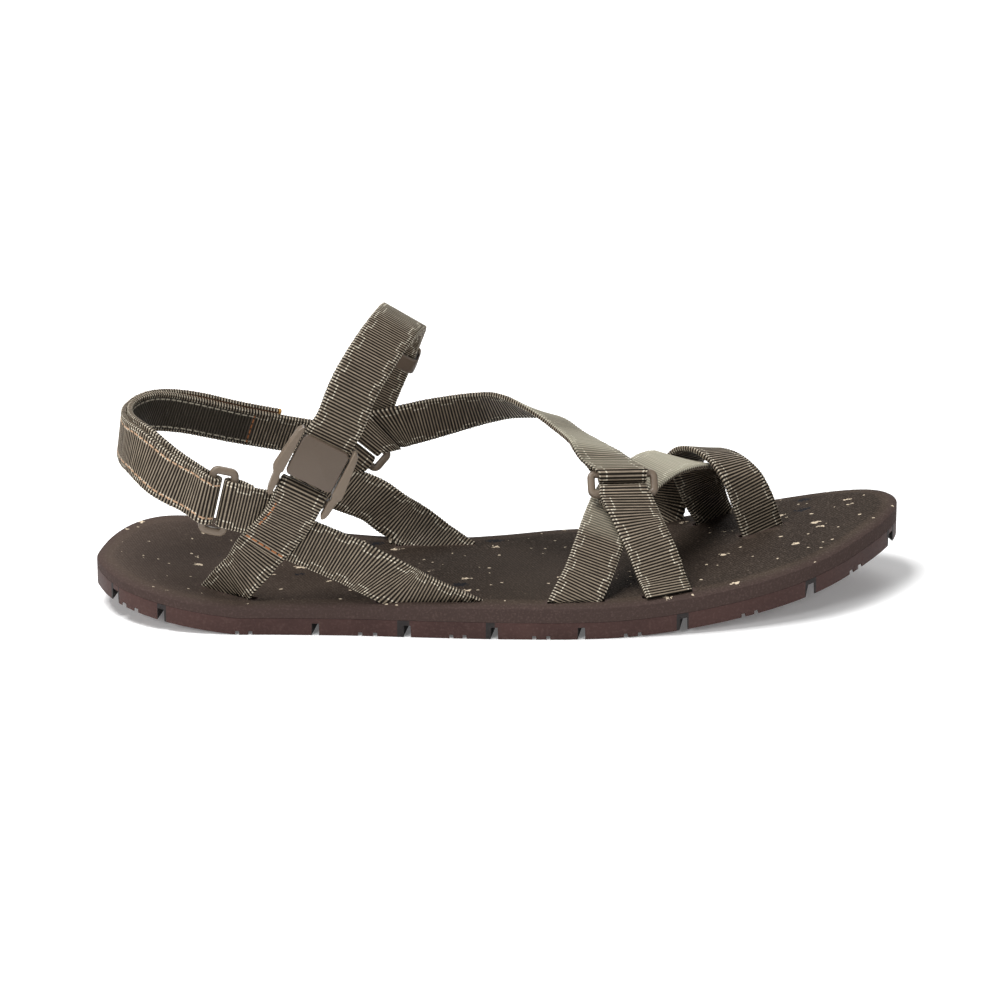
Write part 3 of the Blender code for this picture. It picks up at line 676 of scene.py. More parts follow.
# The same webbing with a strong painted sheen where it looks up.
sheen_painted_webbing = webbing_finish("sheen_painted_webbing", top_sheen=0.7)


# %% Weaving a strap along its path
FOOT_RUN = 20.0 * MM
FOOT_FADE = 15.0 * MM
FOOT_SINK = 1.3 * MM
FOOT_SPREAD = 0.6 * MM


def running_on(path):
    """The path with its feet running straight on below the footbed."""
    points, across = list(path.points), list(path.across)
    for end, foot in zip((0, -1), path.feet):
        if not foot:
            continue
        points.pop(end)
        across.pop(end)
        ahead = (points[end] - points[1 if end == 0 else -2]).normalized()
        lean = across[end].dot(ahead)
        square = (across[end] - ahead * lean).length
        beyond = points[end] + ahead * (WEBBING_WIDTH / 2 * abs(lean) / square + FOOT_SINK)
        points.insert(0 if end == 0 else len(points), beyond)
        across.insert(0 if end == 0 else len(across), across[end])
    return Path(points, across, (0, 0), path.skew)


def woven_length(path):
    """Length of the finished strip in millimetres, in whole ribs."""
    return round(running_on(path).length() / RIB_PITCH) * RIB_PITCH / MM


def weave_strap(name, path, node=None, finish=webbing):
    """The ribbed strip along a path. Near a slot its ribs stay square to its run."""
    feet = path.feet
    mouths = [path.points[end].y for end, foot in zip((0, -1), feet) if foot]
    path = running_on(path)
    length = path.length()
    ribs = max(1, round(length / RIB_PITCH))
    stations = ribs * RIB_STATIONS
    chance = random.Random(name)
    strength = [chance.uniform(0.75, 1.2) for _ in range(ribs + 1)]
    flat = [k / 5.0 - 1.0 for k in range(11)]
    section = [(0.965 * x, 1.0) for x in flat] + [(1.0, 0.45), (1.0, -0.45)]
    section += [(-0.965 * x, -1.0) for x in flat] + [(-1.0, -0.45), (-1.0, 0.45)]
    around = len(section)
    rows = []
    for j in range(stations + 1):
        distance = length * j / stations
        point, across, tangent, _, _ = path.at(distance)
        from_foot = min([distance] * feet[0] + [length - distance] * feet[1] + [length])
        share = 1.0 - smooth((from_foot - FOOT_RUN) / FOOT_FADE)
        level_side = (across - tangent * across.dot(tangent)).normalized()
        across = across.lerp(level_side, share).normalized()
        square = (across - tangent * across.dot(tangent)).length
        half = WEBBING_WIDTH / 2 / max(path.skew, square)
        rows.append((point, across, tangent.cross(across).normalized(), half))

    def spot(i, j):
        point, across, normal, half = rows[j]
        crest = math.sin(math.pi * (j % RIB_STATIONS) / RIB_STATIONS)
        side, level = section[i % around]
        relief = RIB_HEIGHT * (crest * strength[j // RIB_STATIONS] - 0.75)
        u = side * (half + relief * 1.4)
        w = level * (WEBBING_THICK / 2 + relief)
        place = point + across * u + normal * w
        if mouths:
            surface = footbed_top(place.x, place.y)
            place.z = max(place.z, surface - FOOT_SINK)
            if place.z < surface and place.y < 0.0:
                place.y = max(place.y, min(mouths) - FOOT_SPREAD)
            elif place.z < surface:
                place.y = min(place.y, max(mouths) + FOOT_SPREAD)
        along = j * RIB_PITCH / RIB_STATIONS / MM
        face = math.copysign(1.0, level)
        return place, (along, side * WEBBING_WIDTH / 2 / MM), face, normal.z * face

    bm = rolled_grid(around, stations, spot)
    print(name, ribs, "ribs")
    return finish_piece(name, bm, finish, "webbing", node, 60.0)


# %% [markdown]
# ## Where the straps run
# The tables give, for each station, its share of the sole's length and width, its rise
# over the footbed, and the heading and slope of the line across the webbing. A rise of
# None marks a slot in the footbed. A seam's row says how far along the carrying strap a
# leg is sewn on, on which side, how far it slides across, and the line of its end.

# %% Routes
LATERAL_HEEL_ROUTE = (
    # along, across, rise, heading and slope, as in each table below
    (-0.3360, -0.268, None, -33, 0),
    (-0.3190, -0.305, 0.072, -42, -22),
    (-0.2920, -0.325, 0.190, -6, -32),
    (-0.2635, -0.334, 0.300, 0, -28),
)
LATERAL_ARCH_ROUTE = (
    (-0.0971, -0.416, None, -6, 0),
    (-0.1273, -0.416, 0.050, -3, 20),
    (-0.1609, -0.408, 0.103, 0, 42),
    (-0.1945, -0.388, 0.152, 0, 58),
)
TAB_ROUTE = (
    (-0.3020, -0.338, 0.325, 0, 76),
)
MEDIAL_HEEL_ROUTE = (
    (-0.2850, 0.285, None, 172, 0),
    (-0.2590, 0.318, 0.110, 176, 26),
    (-0.2270, 0.344, 0.225, 180, 36),
)
MEDIAL_ARCH_ROUTE = (
    (-0.0810, 0.200, None, 0, 0),
    (-0.1060, 0.240, 0.056, 0, 16),
    (-0.1331, 0.272, 0.102, 0, 36),
    (-0.1617, 0.290, 0.158, 0, 48),
)
HEEL_ROUTE = (
    (-0.3750, -0.300, 0.405, 0, 72),
    (-0.4110, -0.250, 0.468, 4, 66),
    (-0.4390, -0.165, 0.522, 4, 76),
    (-0.4555, -0.060, 0.536, 0, 84),
    (-0.4560, 0.055, 0.549, -12, 80),
    (-0.4340, 0.160, 0.560, -36, 66),
    (-0.3930, 0.252, 0.522, -54, 62),
    (-0.3250, 0.322, 0.452, -60, 60),
    (-0.2600, 0.362, 0.400, -60, 59),
    (-0.2230, 0.388, 0.370, -58, 60),
)
ANKLE_ROUTE = (
    (-0.1990, -0.332, 0.668, 0, -28),
    (-0.1815, -0.295, 0.791, 0, -29),
    (-0.1550, -0.200, 0.900, 0, -30),
    (-0.1315, -0.065, 0.955, 0, -31),
    (-0.1215, 0.060, 0.935, 0, -31),
    (-0.1250, 0.180, 0.850, 0, -30),
    (-0.1370, 0.280, 0.720, 0, -28),
    (-0.1530, 0.345, 0.580, 0, -28),
    (-0.1640, 0.380, 0.465, 0, -28),
)
INSTEP_ROUTE = (
    (-0.1400, 0.352, 0.420, 190, 50),
    (-0.1110, 0.343, 0.442, 214, 68),
    (-0.0770, 0.328, 0.472, 236, 68),
    (-0.0205, 0.295, 0.519, 246, 53),
    (0.0140, 0.238, 0.542, 243, 40),
    (0.0560, 0.150, 0.534, 230, 21),
    (0.0850, 0.060, 0.496, 222, 20),
    (0.1100, -0.047, 0.471, 205, 15),
    (0.1280, -0.101, 0.430, 186, 3),
)
FRONT_LEG_ROUTE = (
    (0.1950, -0.420, None, 10, 0),
    (0.1890, -0.374, 0.066, 8, 0),
    (0.1790, -0.326, 0.146, 5, 0),
    (0.1660, -0.262, 0.224, 2, -2),
)
TOE_BASE_ROUTE = (
    (0.0840, -0.452, None, 3, 0),
    (0.0990, -0.395, 0.078, -4, -12),
    (0.1150, -0.300, 0.170, -8, -18),
    (0.1290, -0.187, 0.240, -16, -18),
    (0.1465, -0.080, 0.298, -26, -18),
    (0.1700, -0.020, 0.336, -30, -18),
    (0.1960, 0.070, 0.357, -30, -16),
    (0.2235, 0.172, 0.340, -20, -12),
    (0.2450, 0.270, 0.276, 6, -4),
    (0.2620, 0.350, 0.140, 28, 2),
    (0.2740, 0.375, None, 40, 0),
)
TOE_LOOP_ROUTE = (
    (0.3270, 0.146, None, 26, 0),
    (0.3165, 0.155, 0.175, 26, 4),
    (0.3020, 0.178, 0.268, 34, 0),
    (0.2820, 0.235, 0.326, 42, -6),
    (0.2580, 0.298, 0.341, 44, -14),
    (0.2390, 0.360, 0.294, 36, -20),
    (0.2240, 0.400, 0.185, 26, -12),
    (0.2130, 0.412, 0.078, 16, -4),
    (0.2045, 0.385, None, 14, 0),
)
front = Loop(0.1465, -0.142, 0.352, (2, 0), (98, 52))
medial = Loop(-0.1755, 0.328, 0.374, (180, 40), (0, 50))
heel = Loop(-0.3460, -0.330, 0.365, (180, -77), (0, -13))
buckle = Loop(-0.2262, -0.340, 0.525, (0, -27.5), (3, 62.5))
ARCH_SEAM = (0.66, 1, 0.002, heading(0, 66))
TAB_SEAM = (0.76, 1, -0.003, heading(0, 74))
INNER_SEAM = (0.69, -1, -0.003, heading(0, 54))
KEEPER_SHARE = 0.765
RISER_FOLD = 0.024
FLAP_END = 0.016
TAIL_SHARE = 0.84
TAB_FOLD = 0.007

# %% [markdown]
# ## The outer side
# The heel riser comes up from its slot inside the buckle's cross bar, turns over it and
# ends as a sewn flap outside. The arch leg and the tab to the heel ring are sewn behind.

# %% Lateral straps
plate_bottom = WEBBING_THICK * 1.5 + 2 * GAP
arm_top = plate_bottom + PLATE_THICK + GAP
bar_level = arm_top - ARM_THICK + BAR_RADIUS * 0.6
bar = buckle.world(0.0, -(PLATE_LENGTH / 2 + BAR_BEYOND), bar_level)
riser = route_path(LATERAL_HEEL_ROUTE, after=[reach(buckle, bar, 1, face=-1)])
arch = route_path(LATERAL_ARCH_ROUTE, after=[tuck(riser, *ARCH_SEAM)])
tab_bar = heel.bar_middle(1)
tab = route_path(TAB_ROUTE, before=[tuck(riser, *TAB_SEAM)], after=[reach(heel, tab_bar, -1)])
riser_folded = fold(riser, buckle, bar, -1, 1, RISER_FOLD, face=-1, taper=RISER_TAPER)
riser_end = woven_length(riser_folded)
END_ROW = 2.0
REAR_ROW = 6.3
REAR_ROW_MIDDLE = 13.0
REAR_ROW_HALF = 5.5


def riser_extras(along, across, edge, level):
    """A rust row across the flap's end and a short one down its rear edge."""
    left = riser_end - along
    rear = stitches(along, across + REAR_ROW) * (left - REAR_ROW_MIDDLE).band(REAR_ROW_HALF, 0.3)
    return (((stitches(across, left - END_ROW) * edge.above(1.0)).most(rear), RUST_THREAD),)


weave_strap(
    "lateral_heel_riser", riser_folded, "lateral_strap",
    webbing_finish("riser_webbing", riser_extras))
weave_strap("lateral_arch_leg", arch)
weave_strap("heel_ring_tab", fold(tab, heel, tab_bar, 1, -1, TAB_FOLD))

# %% [markdown]
# ## The inner side
# The same two legs meet at the medial ring, without a buckle.

# %% Medial straps
low_bar = medial.bar_middle(-1)
inner = route_path(MEDIAL_HEEL_ROUTE, after=[reach(medial, low_bar, 1)])
inner_arch = route_path(MEDIAL_ARCH_ROUTE, after=[tuck(inner, *INNER_SEAM)])
weave_strap("medial_heel_riser", fold(inner, medial, low_bar, -1, 1, TAB_FOLD), "medial_strap")
weave_strap("medial_arch_leg", inner_arch)

# %% [markdown]
# ## Heel strap
# It runs round the heel, turns through the heel ring and comes back outside as a long
# flap that closes with hook tape.

# %% Heel strap
FLAP_SHIFT = ((0.00, 0.0), (0.16, -0.0016), (0.45, -0.0014), (0.75, 0.0007), (1.00, 0.0007))
TAPE_PLACE = -0.305
TAPE_REST = 8.0
SEAM_THREAD = (0.46, 0.29, 0.18)


def flap_shift(share):
    """The flap lies a little low at first and a little high at its end."""
    for (a, low), (b, high) in zip(FLAP_SHIFT, FLAP_SHIFT[1:]):
        if share <= b:
            return low + (high - low) * smooth((share - a) / (b - a))
    return FLAP_SHIFT[-1][1]


heel_bar = heel.bar_middle(-1)
heel_inner = route_path(HEEL_ROUTE, before=[reach(heel, heel_bar, -1, face=-1)]).reversed()
flap_length = heel_inner.length() - FLAP_END
heel_folded = fold(
    heel_inner, heel, heel_bar, -1, -1, flap_length, face=-1, shift=flap_shift)
heel_turn = heel_inner.length() / MM
heel_end = woven_length(heel_folded)
foot_side = math.copysign(1.0, heel_inner.at(heel_inner.length() / 2)[3].x)
tape_start = next(
    d for d in range(round(heel_turn)) if heel_inner.at(d * MM)[0].x < TAPE_PLACE * SOLE_LENGTH)
print("loop tape from", tape_start, "mm to", round(heel_turn - TAPE_REST), "mm")


def heel_extras(along, across, edge, level):
    """Loop tape toward the foot, hook tape inside the flap, and the flap's seams."""
    inside = (level * foot_side).above(0.0)
    on_tape = along.above(tape_start) * (1.0 - along.above(heel_turn - TAPE_REST))
    tape = on_tape * inside * edge.above(1.3)
    on_flap = along.above(heel_turn + 5.0)
    hook = on_flap * (1.0 - inside) * edge.above(0.5)
    rows = stitches(along, edge - 2.2)
    across_row = stitches(across, along - (tape_start + 1.2)) * inside * edge.above(1.6)
    return (
        (tape * 0.8, LOOP_TAPE), (hook, HOOK_TAPE),
        (rows * on_tape * inside * 0.6, PALE_THREAD),
        (rows * on_flap * 0.9, SEAM_THREAD), (across_row, RUST_THREAD),
        (1.0 - (heel_end - along).rise(0.7, 1.1), OCHRE_TAPE))


weave_strap(
    "heel_strap_webbing", heel_folded, "heel_strap",
    webbing_finish("heel_webbing", heel_extras))

# %% [markdown]
# ## Ankle strap
# It goes up from under the buckle's plate, over the instep to the medial ring's side, and
# its tail comes back over it as a second layer, held by the keeper. The tail is a layer
# of the same path, so that the two stay a webbing's thickness apart all along.

# %% Ankle strap
UNDER_PLATE = (-0.3, 0.4)

under = [(buckle.world(0.0, share * PLATE_LENGTH, 0.0), buckle.bar) for share in UNDER_PLATE]
ankle = route_path(ANKLE_ROUTE, before=under).reversed()
turn = (WEBBING_THICK + GAP) / 2
lower = buckle.world(0.0, UNDER_PLATE[0] * PLATE_LENGTH, turn)
bend = []
for k in range(1, FOLD_STEPS):
    angle = math.pi * k / FOLD_STEPS
    up, back = turn * math.cos(angle), turn * math.sin(angle)
    bend.append(lower - buckle.out * up - buckle.pull * back)
ankle_total = ankle.length()
outside = 1 if ankle.at(ankle_total * 0.99)[3].dot(buckle.out) > 0 else -1
tail = ankle.layer(ankle_total, ankle_total * (1 - TAIL_SHARE), outside * 2 * turn)
ankle_folded = ankle.extended(Path(bend, [buckle.bar] * len(bend)), tail)
ankle_end = woven_length(ankle_folded)


def ankle_extras(along, across, edge, level):
    """The ochre fray at the tail's end."""
    return ((1.0 - (ankle_end - along).rise(0.7, 1.2), OCHRE_TAPE),)


# The ankle strap's finish has a weak painted sheen where it looks up.
weave_strap(
    "ankle_strap_webbing", ankle_folded, "ankle_strap",
    webbing_finish("ankle_webbing", ankle_extras, 0.3))

# %% [markdown]
# ## Front straps
# The instep strap runs aslant from the medial ring to the front ring and twists as it
# goes, with a short fold at each ring. The front leg, the toe base strap and the toe
# loop stand in slots. The two that look up most get the webbing with the stronger painted sheen.

# %% Instep strap
INSTEP_SKEW = 0.92
INSTEP_SLIP = 0.0015

top_bar = medial.bar_middle(1)
front_bar = front.bar_middle(1)
instep = route_path(
    INSTEP_ROUTE, before=[reach(medial, top_bar, 1)],
    after=[reach(front, front_bar, -1)], skew=INSTEP_SKEW)
instep = fold(instep, front, front_bar, 1, -1, TAB_FOLD, shift=lambda t: -INSTEP_SLIP * t)
instep = fold(instep.reversed(), medial, top_bar, 1, 1, TAB_FOLD)
weave_strap("instep_strap_webbing", instep, "instep_strap", sheen_painted_webbing)

# %% Forefoot straps
low_front = front.bar_middle(-1)
leg = route_path(FRONT_LEG_ROUTE, after=[reach(front, low_front, 1)])
weave_strap("front_leg_webbing", fold(leg, front, low_front, -1, 1, TAB_FOLD), "front_leg_strap")
base = route_path(TOE_BASE_ROUTE)
weave_strap("toe_base_webbing", base, "toe_base_strap", sheen_painted_webbing)
toe = route_path(TOE_LOOP_ROUTE)
weave_strap("toe_loop_webbing", toe, "toe_loop")

# %% [markdown]
# ## Plastic hardware
# The rings, the buckle and the keeper are moulded from a dull taupe plastic with a fine
# spark-eroded grain, in a lighter tone for the rings and the buckle's frame and a darker
# one for its plate and the keeper. Rings are a closed bar, so a grid is rolled both ways.

# %% Plastic finish
def plastic_finish(name, low, high):
    """Moulded plastic, dull with a fine grain."""
    plastic = Finish(name)
    grain = plastic.noise(plastic.place(), 2600.0, 2.0)
    cloud = plastic.noise(plastic.place(), 60.0, 2.0)
    plastic.set("Base Color", plastic.mix(cloud, low, high))
    plastic.set("Roughness", grain * 0.2 + 0.34)
    plastic.set("Specular IOR Level", 0.38)
    plastic.bump(grain, 0.03 * MM, 0.5)
    return plastic


ring_plastic = plastic_finish("taupe_plastic", (0.120, 0.090, 0.064), (0.145, 0.110, 0.080))
buckle_plastic = plastic_finish("dark_taupe_plastic", (0.078, 0.056, 0.040), (0.094, 0.069, 0.050))


# %% Rings
CORNER_STEPS = 6
SQUARENESS = 0.75
RING_CORNER = BAR_RADIUS * 1.2


def corner_turns():
    """The four corners of a rounded rectangle in turn, with the angles of each arc."""
    for quarter, (u, v) in enumerate(((1, 1), (-1, 1), (-1, -1), (1, -1))):
        for k in range(CORNER_STEPS + 1):
            yield u, v, math.radians(90 * quarter + 90 // CORNER_STEPS * k)


def squarish(value):
    """A sine or cosine swelled a little, for a bar with flattened sides."""
    return math.copysign(abs(value) ** SQUARENESS, value)


def closed_bar(name, loop, half_u, half_v, corner, section, node, finish, sides=16):
    """A bar bent into a rounded rectangle. section is its width in the plane of the
    loop and its height out of it."""
    spine = []
    for u, v, angle in corner_turns():
        out = Vector((math.cos(angle), math.sin(angle)))
        x = u * (half_u - corner) + corner * out.x
        y = v * (half_v - corner) + corner * out.y
        spine.append((x, y, out))
    count = len(spine)

    def spot(i, j):
        x, y, out = spine[j % count]
        angle = 2 * math.pi * i / sides
        spread = section[0] / 2 * squarish(math.cos(angle))
        height = section[1] / 2 * squarish(math.sin(angle))
        place = loop.world(x + out.x * spread, y + out.y * spread, height)
        return place, (0.0, 0.0)

    return finish_piece(name, rolled_grid(sides, count, spot, "loop"), finish, "plastic", node)


ring_half = WEBBING_WIDTH / 2 + RING_SLACK + BAR_RADIUS
for label, loop in (("front", front), ("medial", medial), ("heel", heel)):
    closed_bar(
        label + "_ring_moulding", loop, ring_half, RING_PITCH / 2, RING_CORNER,
        (2 * BAR_RADIUS, 2 * BAR_RADIUS), label + "_ring", ring_plastic)

# %% Keeper
KEEPER_CORNER = 0.0012

point, across, tangent, normal, _ = ankle.at(ankle_total * (1 - KEEPER_SHARE))
if normal.y < 0:
    normal = -normal


class Sleeve:
    """The keeper's own directions: across the webbing, out of it, and along it."""

    def __init__(self, middle):
        self.middle = middle

    def world(self, u, v, w):
        return self.middle + across * u + normal * v + tangent * w


sleeve = Sleeve(point + normal * ((WEBBING_THICK + GAP) / 2))
sleeve_u = WEBBING_WIDTH / 2 + 2 * GAP + KEEPER_WALL / 2
sleeve_v = WEBBING_THICK + GAP / 2 + 2 * GAP + KEEPER_WALL / 2
closed_bar(
    "keeper_moulding", sleeve, sleeve_u, sleeve_v, KEEPER_CORNER, (KEEPER_WALL, KEEPER_LENGTH),
    "keeper", buckle_plastic)

# %% [markdown]
# ## Buckle
# The plate is a rounded tile with softened edges. Its frame has two arms that are
# broad beside the plate's lower half and taper at both ends, joined by a cross bar.


# %% Buckle pieces
def tile(outline, low, high, rounding, loop):
    """A flat outline raised into a tile in a loop's directions, its rim bevelled."""
    bm = bmesh.new()
    verts = [bm.verts.new((u, v, low)) for u, v in outline]
    face = bm.faces.new(verts)
    made = bmesh.ops.extrude_face_region(bm, geom=[face])["geom"]
    top = [item for item in made if isinstance(item, bmesh.types.BMVert)]
    bmesh.ops.translate(bm, verts=top, vec=(0.0, 0.0, high - low))
    rims = [e for e in bm.edges if abs(e.verts[0].co.z - e.verts[1].co.z) < 1e-7]
    bmesh.ops.bevel(
        bm, geom=rims, offset=rounding, segments=3, profile=0.5, affect="EDGES", material=-1)
    bmesh.ops.recalc_face_normals(bm, faces=bm.faces)
    for vert in bm.verts:
        vert.co = loop.world(*vert.co)
    return bm


EDGE_ROUNDING = 0.0005

plate_shape = []
half_u = PLATE_WIDTH / 2 - PLATE_ROUNDING
half_v = PLATE_LENGTH / 2 - PLATE_ROUNDING
for u, v, angle in corner_turns():
    x = u * half_u + PLATE_ROUNDING * math.cos(angle)
    y = v * half_v + PLATE_ROUNDING * math.sin(angle)
    plate_shape.append((x, y))
plate = tile(plate_shape, plate_bottom, plate_bottom + PLATE_THICK, EDGE_ROUNDING, buckle)
finish_piece("buckle_plate_tile", plate, buckle_plastic, "plastic", "buckle_plate", 35.0)

ARM_OUTLINE = (
    # outward in arm widths, along in half plate lengths from the plate's middle
    (0.00, 1.16), (0.12, 1.22), (0.30, 1.21), (0.56, 1.04), (0.76, 0.28), (0.97, -0.72),
    (1.00, -0.88), (0.98, -1.04), (0.72, -1.22), (0.69, -1.32), (0.58, -1.90), (0.46, -2.12),
    (0.28, -2.22), (0.10, -2.22), (0.00, -2.10), (0.00, -1.34), (0.12, -1.28), (0.12, -1.08),
    (0.00, -1.02),
)
frame_mesh = None
for side in (-1, 1):
    inner_line = PLATE_WIDTH / 2 + PLATE_PLAY
    shape = [(side * (inner_line + a * ARM_WIDTH), b * PLATE_LENGTH / 2) for a, b in ARM_OUTLINE]
    arm = tile(shape, arm_top - ARM_THICK, arm_top, EDGE_ROUNDING, buckle)
    if frame_mesh is None:
        frame_mesh = arm
    else:
        other_arm = bpy.data.meshes.new("arm")
        arm.to_mesh(other_arm)
        arm.free()
        frame_mesh.from_mesh(other_arm)
        bpy.data.meshes.remove(other_arm)
made = bmesh.ops.create_cone(
    frame_mesh, cap_ends=True, segments=20, radius1=BAR_RADIUS, radius2=BAR_RADIUS,
    depth=PLATE_WIDTH + 2 * PLATE_PLAY + ARM_WIDTH * 0.6)["verts"]
for vert in made:
    x, y, z = vert.co
    vert.co = bar + buckle.bar * z + buckle.pull * x + buckle.out * y
finish_piece("buckle_frame_moulding", frame_mesh, ring_plastic, "plastic", "buckle_frame", 35.0)

# %% [markdown]
# ## Sole
# Both layers share one outline, drawn as a smooth closed curve. The flat plate is
# inset in steps so that its rim can be let down, then sliced by planes, so that it can
# bend with the heel rise, the arch and the toe spring.

# %% Outline
OUTLINE = (
    # along and across, as shares of the sole's length and width
    (-0.500, 0.010), (-0.496, -0.070), (-0.483, -0.165),
    (-0.461, -0.255), (-0.428, -0.328), (-0.388, -0.375),
    (-0.335, -0.402), (-0.280, -0.410), (-0.185, -0.430),
    (-0.090, -0.464), (0.000, -0.490), (0.090, -0.500),
    (0.185, -0.474), (0.276, -0.415), (0.350, -0.332),
    (0.402, -0.228), (0.442, -0.105), (0.475, 0.020),
    (0.494, 0.125), (0.500, 0.225), (0.493, 0.325),
    (0.470, 0.408), (0.435, 0.462), (0.390, 0.492),
    (0.335, 0.500), (0.270, 0.476), (0.185, 0.428),
    (0.090, 0.368), (0.010, 0.298), (-0.050, 0.270),
    (-0.110, 0.278), (-0.185, 0.320), (-0.278, 0.396),
    (-0.350, 0.430), (-0.405, 0.420), (-0.443, 0.375),
    (-0.471, 0.292), (-0.490, 0.172),
)
OUTLINE_STEPS = 7


def sole_outline():
    points = [Vector((a * SOLE_LENGTH, c * SOLE_WIDTH, 0.0)) for a, c in OUTLINE]
    return through(points, OUTLINE_STEPS, closed=True)


LONG_CUTS = [k * 4.0 * MM for k in range(-34, 35)]
CROSS_CUTS = [k * 5.0 * MM for k in range(-9, 10)]


def slice_mesh(bm, direction, places):
    """Cuts the mesh by planes square to a direction, so that it can bend at them."""
    for place in places:
        everything = bm.verts[:] + bm.edges[:] + bm.faces[:]
        bmesh.ops.bisect_plane(
            bm, geom=everything, dist=1e-6, plane_co=direction * place, plane_no=direction)


def flat_plate(thickness):
    """The outline as a plate of that thickness, standing on the plane z = 0."""
    bm = bmesh.new()
    face = bm.faces.new([bm.verts.new(p) for p in sole_outline()])
    made = bmesh.ops.extrude_face_region(bm, geom=[face])["geom"]
    top = [item for item in made if isinstance(item, bmesh.types.BMVert)]
    bmesh.ops.translate(bm, verts=top, vec=(0.0, 0.0, thickness))
    bmesh.ops.recalc_face_normals(bm, faces=bm.faces)
    return bm


def cut_away(obj, cutter):
    """Takes the cutter out of the object for good, and removes the cutter."""
    modifier = obj.modifiers.new("cut", "BOOLEAN")
    modifier.operation = "DIFFERENCE"
    modifier.solver = "EXACT"
    modifier.object = cutter
    bpy.context.view_layer.update()
    graph = bpy.context.evaluated_depsgraph_get()
    cut = bpy.data.meshes.new_from_object(obj.evaluated_get(graph))
    obj.modifiers.clear()
    obj.data = cut
    bpy.data.objects.remove(cutter, do_unlink=True)


# %% [markdown]
# ## Footbed
# A dark foam sheet with a canvas grain on top, chips of cork and black rubber pressed
# in, and a plain maroon side. A vertex layer says how far a point is from the rim, so
# that grain, chips and side colour can change there. Each slot is a Boolean cut.

# %% Footbed finish
RIM_INSETS = (1.2, 1.6, 2.2, 2.4)
RIM_DROPS = (1.5, 0.62, 0.34, 0.12)
SIDE_MAROON = (0.049, 0.0325, 0.0285)
SIDE_SPECK = (0.13, 0.085, 0.076)
DARK_BROWN = (0.029, 0.0195, 0.0140)
BROWN = (0.044, 0.031, 0.0225)
GRAIN_SHADE = (0.008, 0.006, 0.004)
FIBRE = (0.110, 0.082, 0.064)
# Paler tone of the painted light at the heel.
HEEL_PAINTED_LIGHT = (0.085, 0.061, 0.050)
BLACK_CHIP = (0.008, 0.008, 0.010)
CORK = (0.52, 0.43, 0.32)

bed = Finish("canvas_footbed", roughness=0.9)
where = bed.place()
x, y, _ = bed.parts(where)
inside = bed.node("ShaderNodeAttribute", {"attribute_name": "inside"}, output="Fac")
canvas = inside.rise(0.62, 0.85)
warp = ((x * 0.94 + y * 0.34) * (2 * math.pi / (0.95 * MM))).sin() * 0.5 + 0.5
weft = ((y * 0.94 - x * 0.34) * (2 * math.pi / (0.75 * MM))).sin() * 0.5 + 0.5
weave = warp * 0.45 + weft * 0.55
mottle = bed.noise(where, 55.0, 4.0)
speck = bed.noise(where, 1500.0, 2.0)


def flecks(scale, stretch, radius, share):
    """Chips scattered one to a cell, on some of the cells, with ragged edges."""
    ragged = bed.noise(where, 900.0, 2.0) * 0.55
    cells = {"feature": "F1", "distance": "EUCLIDEAN"}
    spot = bed.vector(x * scale, y * (scale * stretch), 0.37)
    sockets = {"Vector": spot, "Scale": 1.0, "Randomness": 1.0}
    near = bed.node("ShaderNodeTexVoronoi", cells, sockets, "Distance")
    chance = bed.parts(bed.node("ShaderNodeTexVoronoi", cells, sockets, "Color"))[0]
    size = near + ragged - 0.28
    return (1.0 - size.rise(radius, radius * 1.25)) * chance.above(1.0 - share)


cork = flecks(90.0, 1.7, 0.11, 0.34).most(flecks(260.0, 1.4, 0.10, 0.36))
black = flecks(75.0, 1.5, 0.17, 0.16)
bed_colour = bed.mix(mottle.rise(0.3, 0.7), DARK_BROWN, BROWN)
bed_colour = bed.mix(weave * canvas * 0.95, bed_colour, GRAIN_SHADE)
bed_colour = bed.mix(speck.rise(0.50, 0.75) * 0.5, bed_colour, FIBRE)
side_share = 1.0 - inside.rise(0.0, 0.50)
# Painted light: the top is paler towards the heel, standing in for the light that falls there.
heel_painted_light = (x * -1.0).rise(0.045, 0.115) * 0.4
bed_colour = bed.mix(heel_painted_light, bed_colour, HEEL_PAINTED_LIGHT)
side_colour = bed.mix(speck.rise(0.5, 0.8) * 0.35, SIDE_MAROON, SIDE_SPECK)
bed_colour = bed.mix(side_share, bed_colour, side_colour)
bed_colour = bed.mix(black * canvas, bed_colour, BLACK_CHIP)
bed_colour = bed.mix(cork * inside.above(0.05), bed_colour, CORK)
bed.set("Base Color", bed_colour)
bed.set("Roughness", 0.92 - speck * 0.18)
bed.set("Specular IOR Level", 0.10)
bed.bump(weave * canvas * 0.9 + speck * 0.35, 0.16 * MM, 0.8)

# %% Footbed
middle_height = FOOTBED_THICK / 2
rim_width = sum(RIM_INSETS)
bm = flat_plate(FOOTBED_THICK)
inside_layer = bm.verts.layers.float.new("inside")
cap = [f for f in bm.faces if f.normal.z > 0.9]
level = 0.0
for step, drop in zip(RIM_INSETS, RIM_DROPS):
    rim = {v for f in cap for v in f.verts}
    for vert in rim:
        vert[inside_layer] = level / rim_width
        vert.co.z = FOOTBED_THICK - drop * MM
    bmesh.ops.inset_region(bm, faces=cap, thickness=step * MM, use_even_offset=True)
    level += step
for vert in {v for f in cap for v in f.verts}:
    vert[inside_layer] = 1.0
    vert.co.z = FOOTBED_THICK
slice_mesh(bm, Vector((1.0, 0.0, 0.0)), LONG_CUTS)
slice_mesh(bm, Vector((0.0, 1.0, 0.0)), CROSS_CUTS)
for vert in bm.verts:
    x_, y_, z_ = vert.co
    if z_ > middle_height:
        vert.co.z = footbed_top(x_, y_) - (FOOTBED_THICK - z_)
    else:
        vert.co.z = outsole_top(x_) + GAP
footbed = new_object("footbed_cushion", bm)


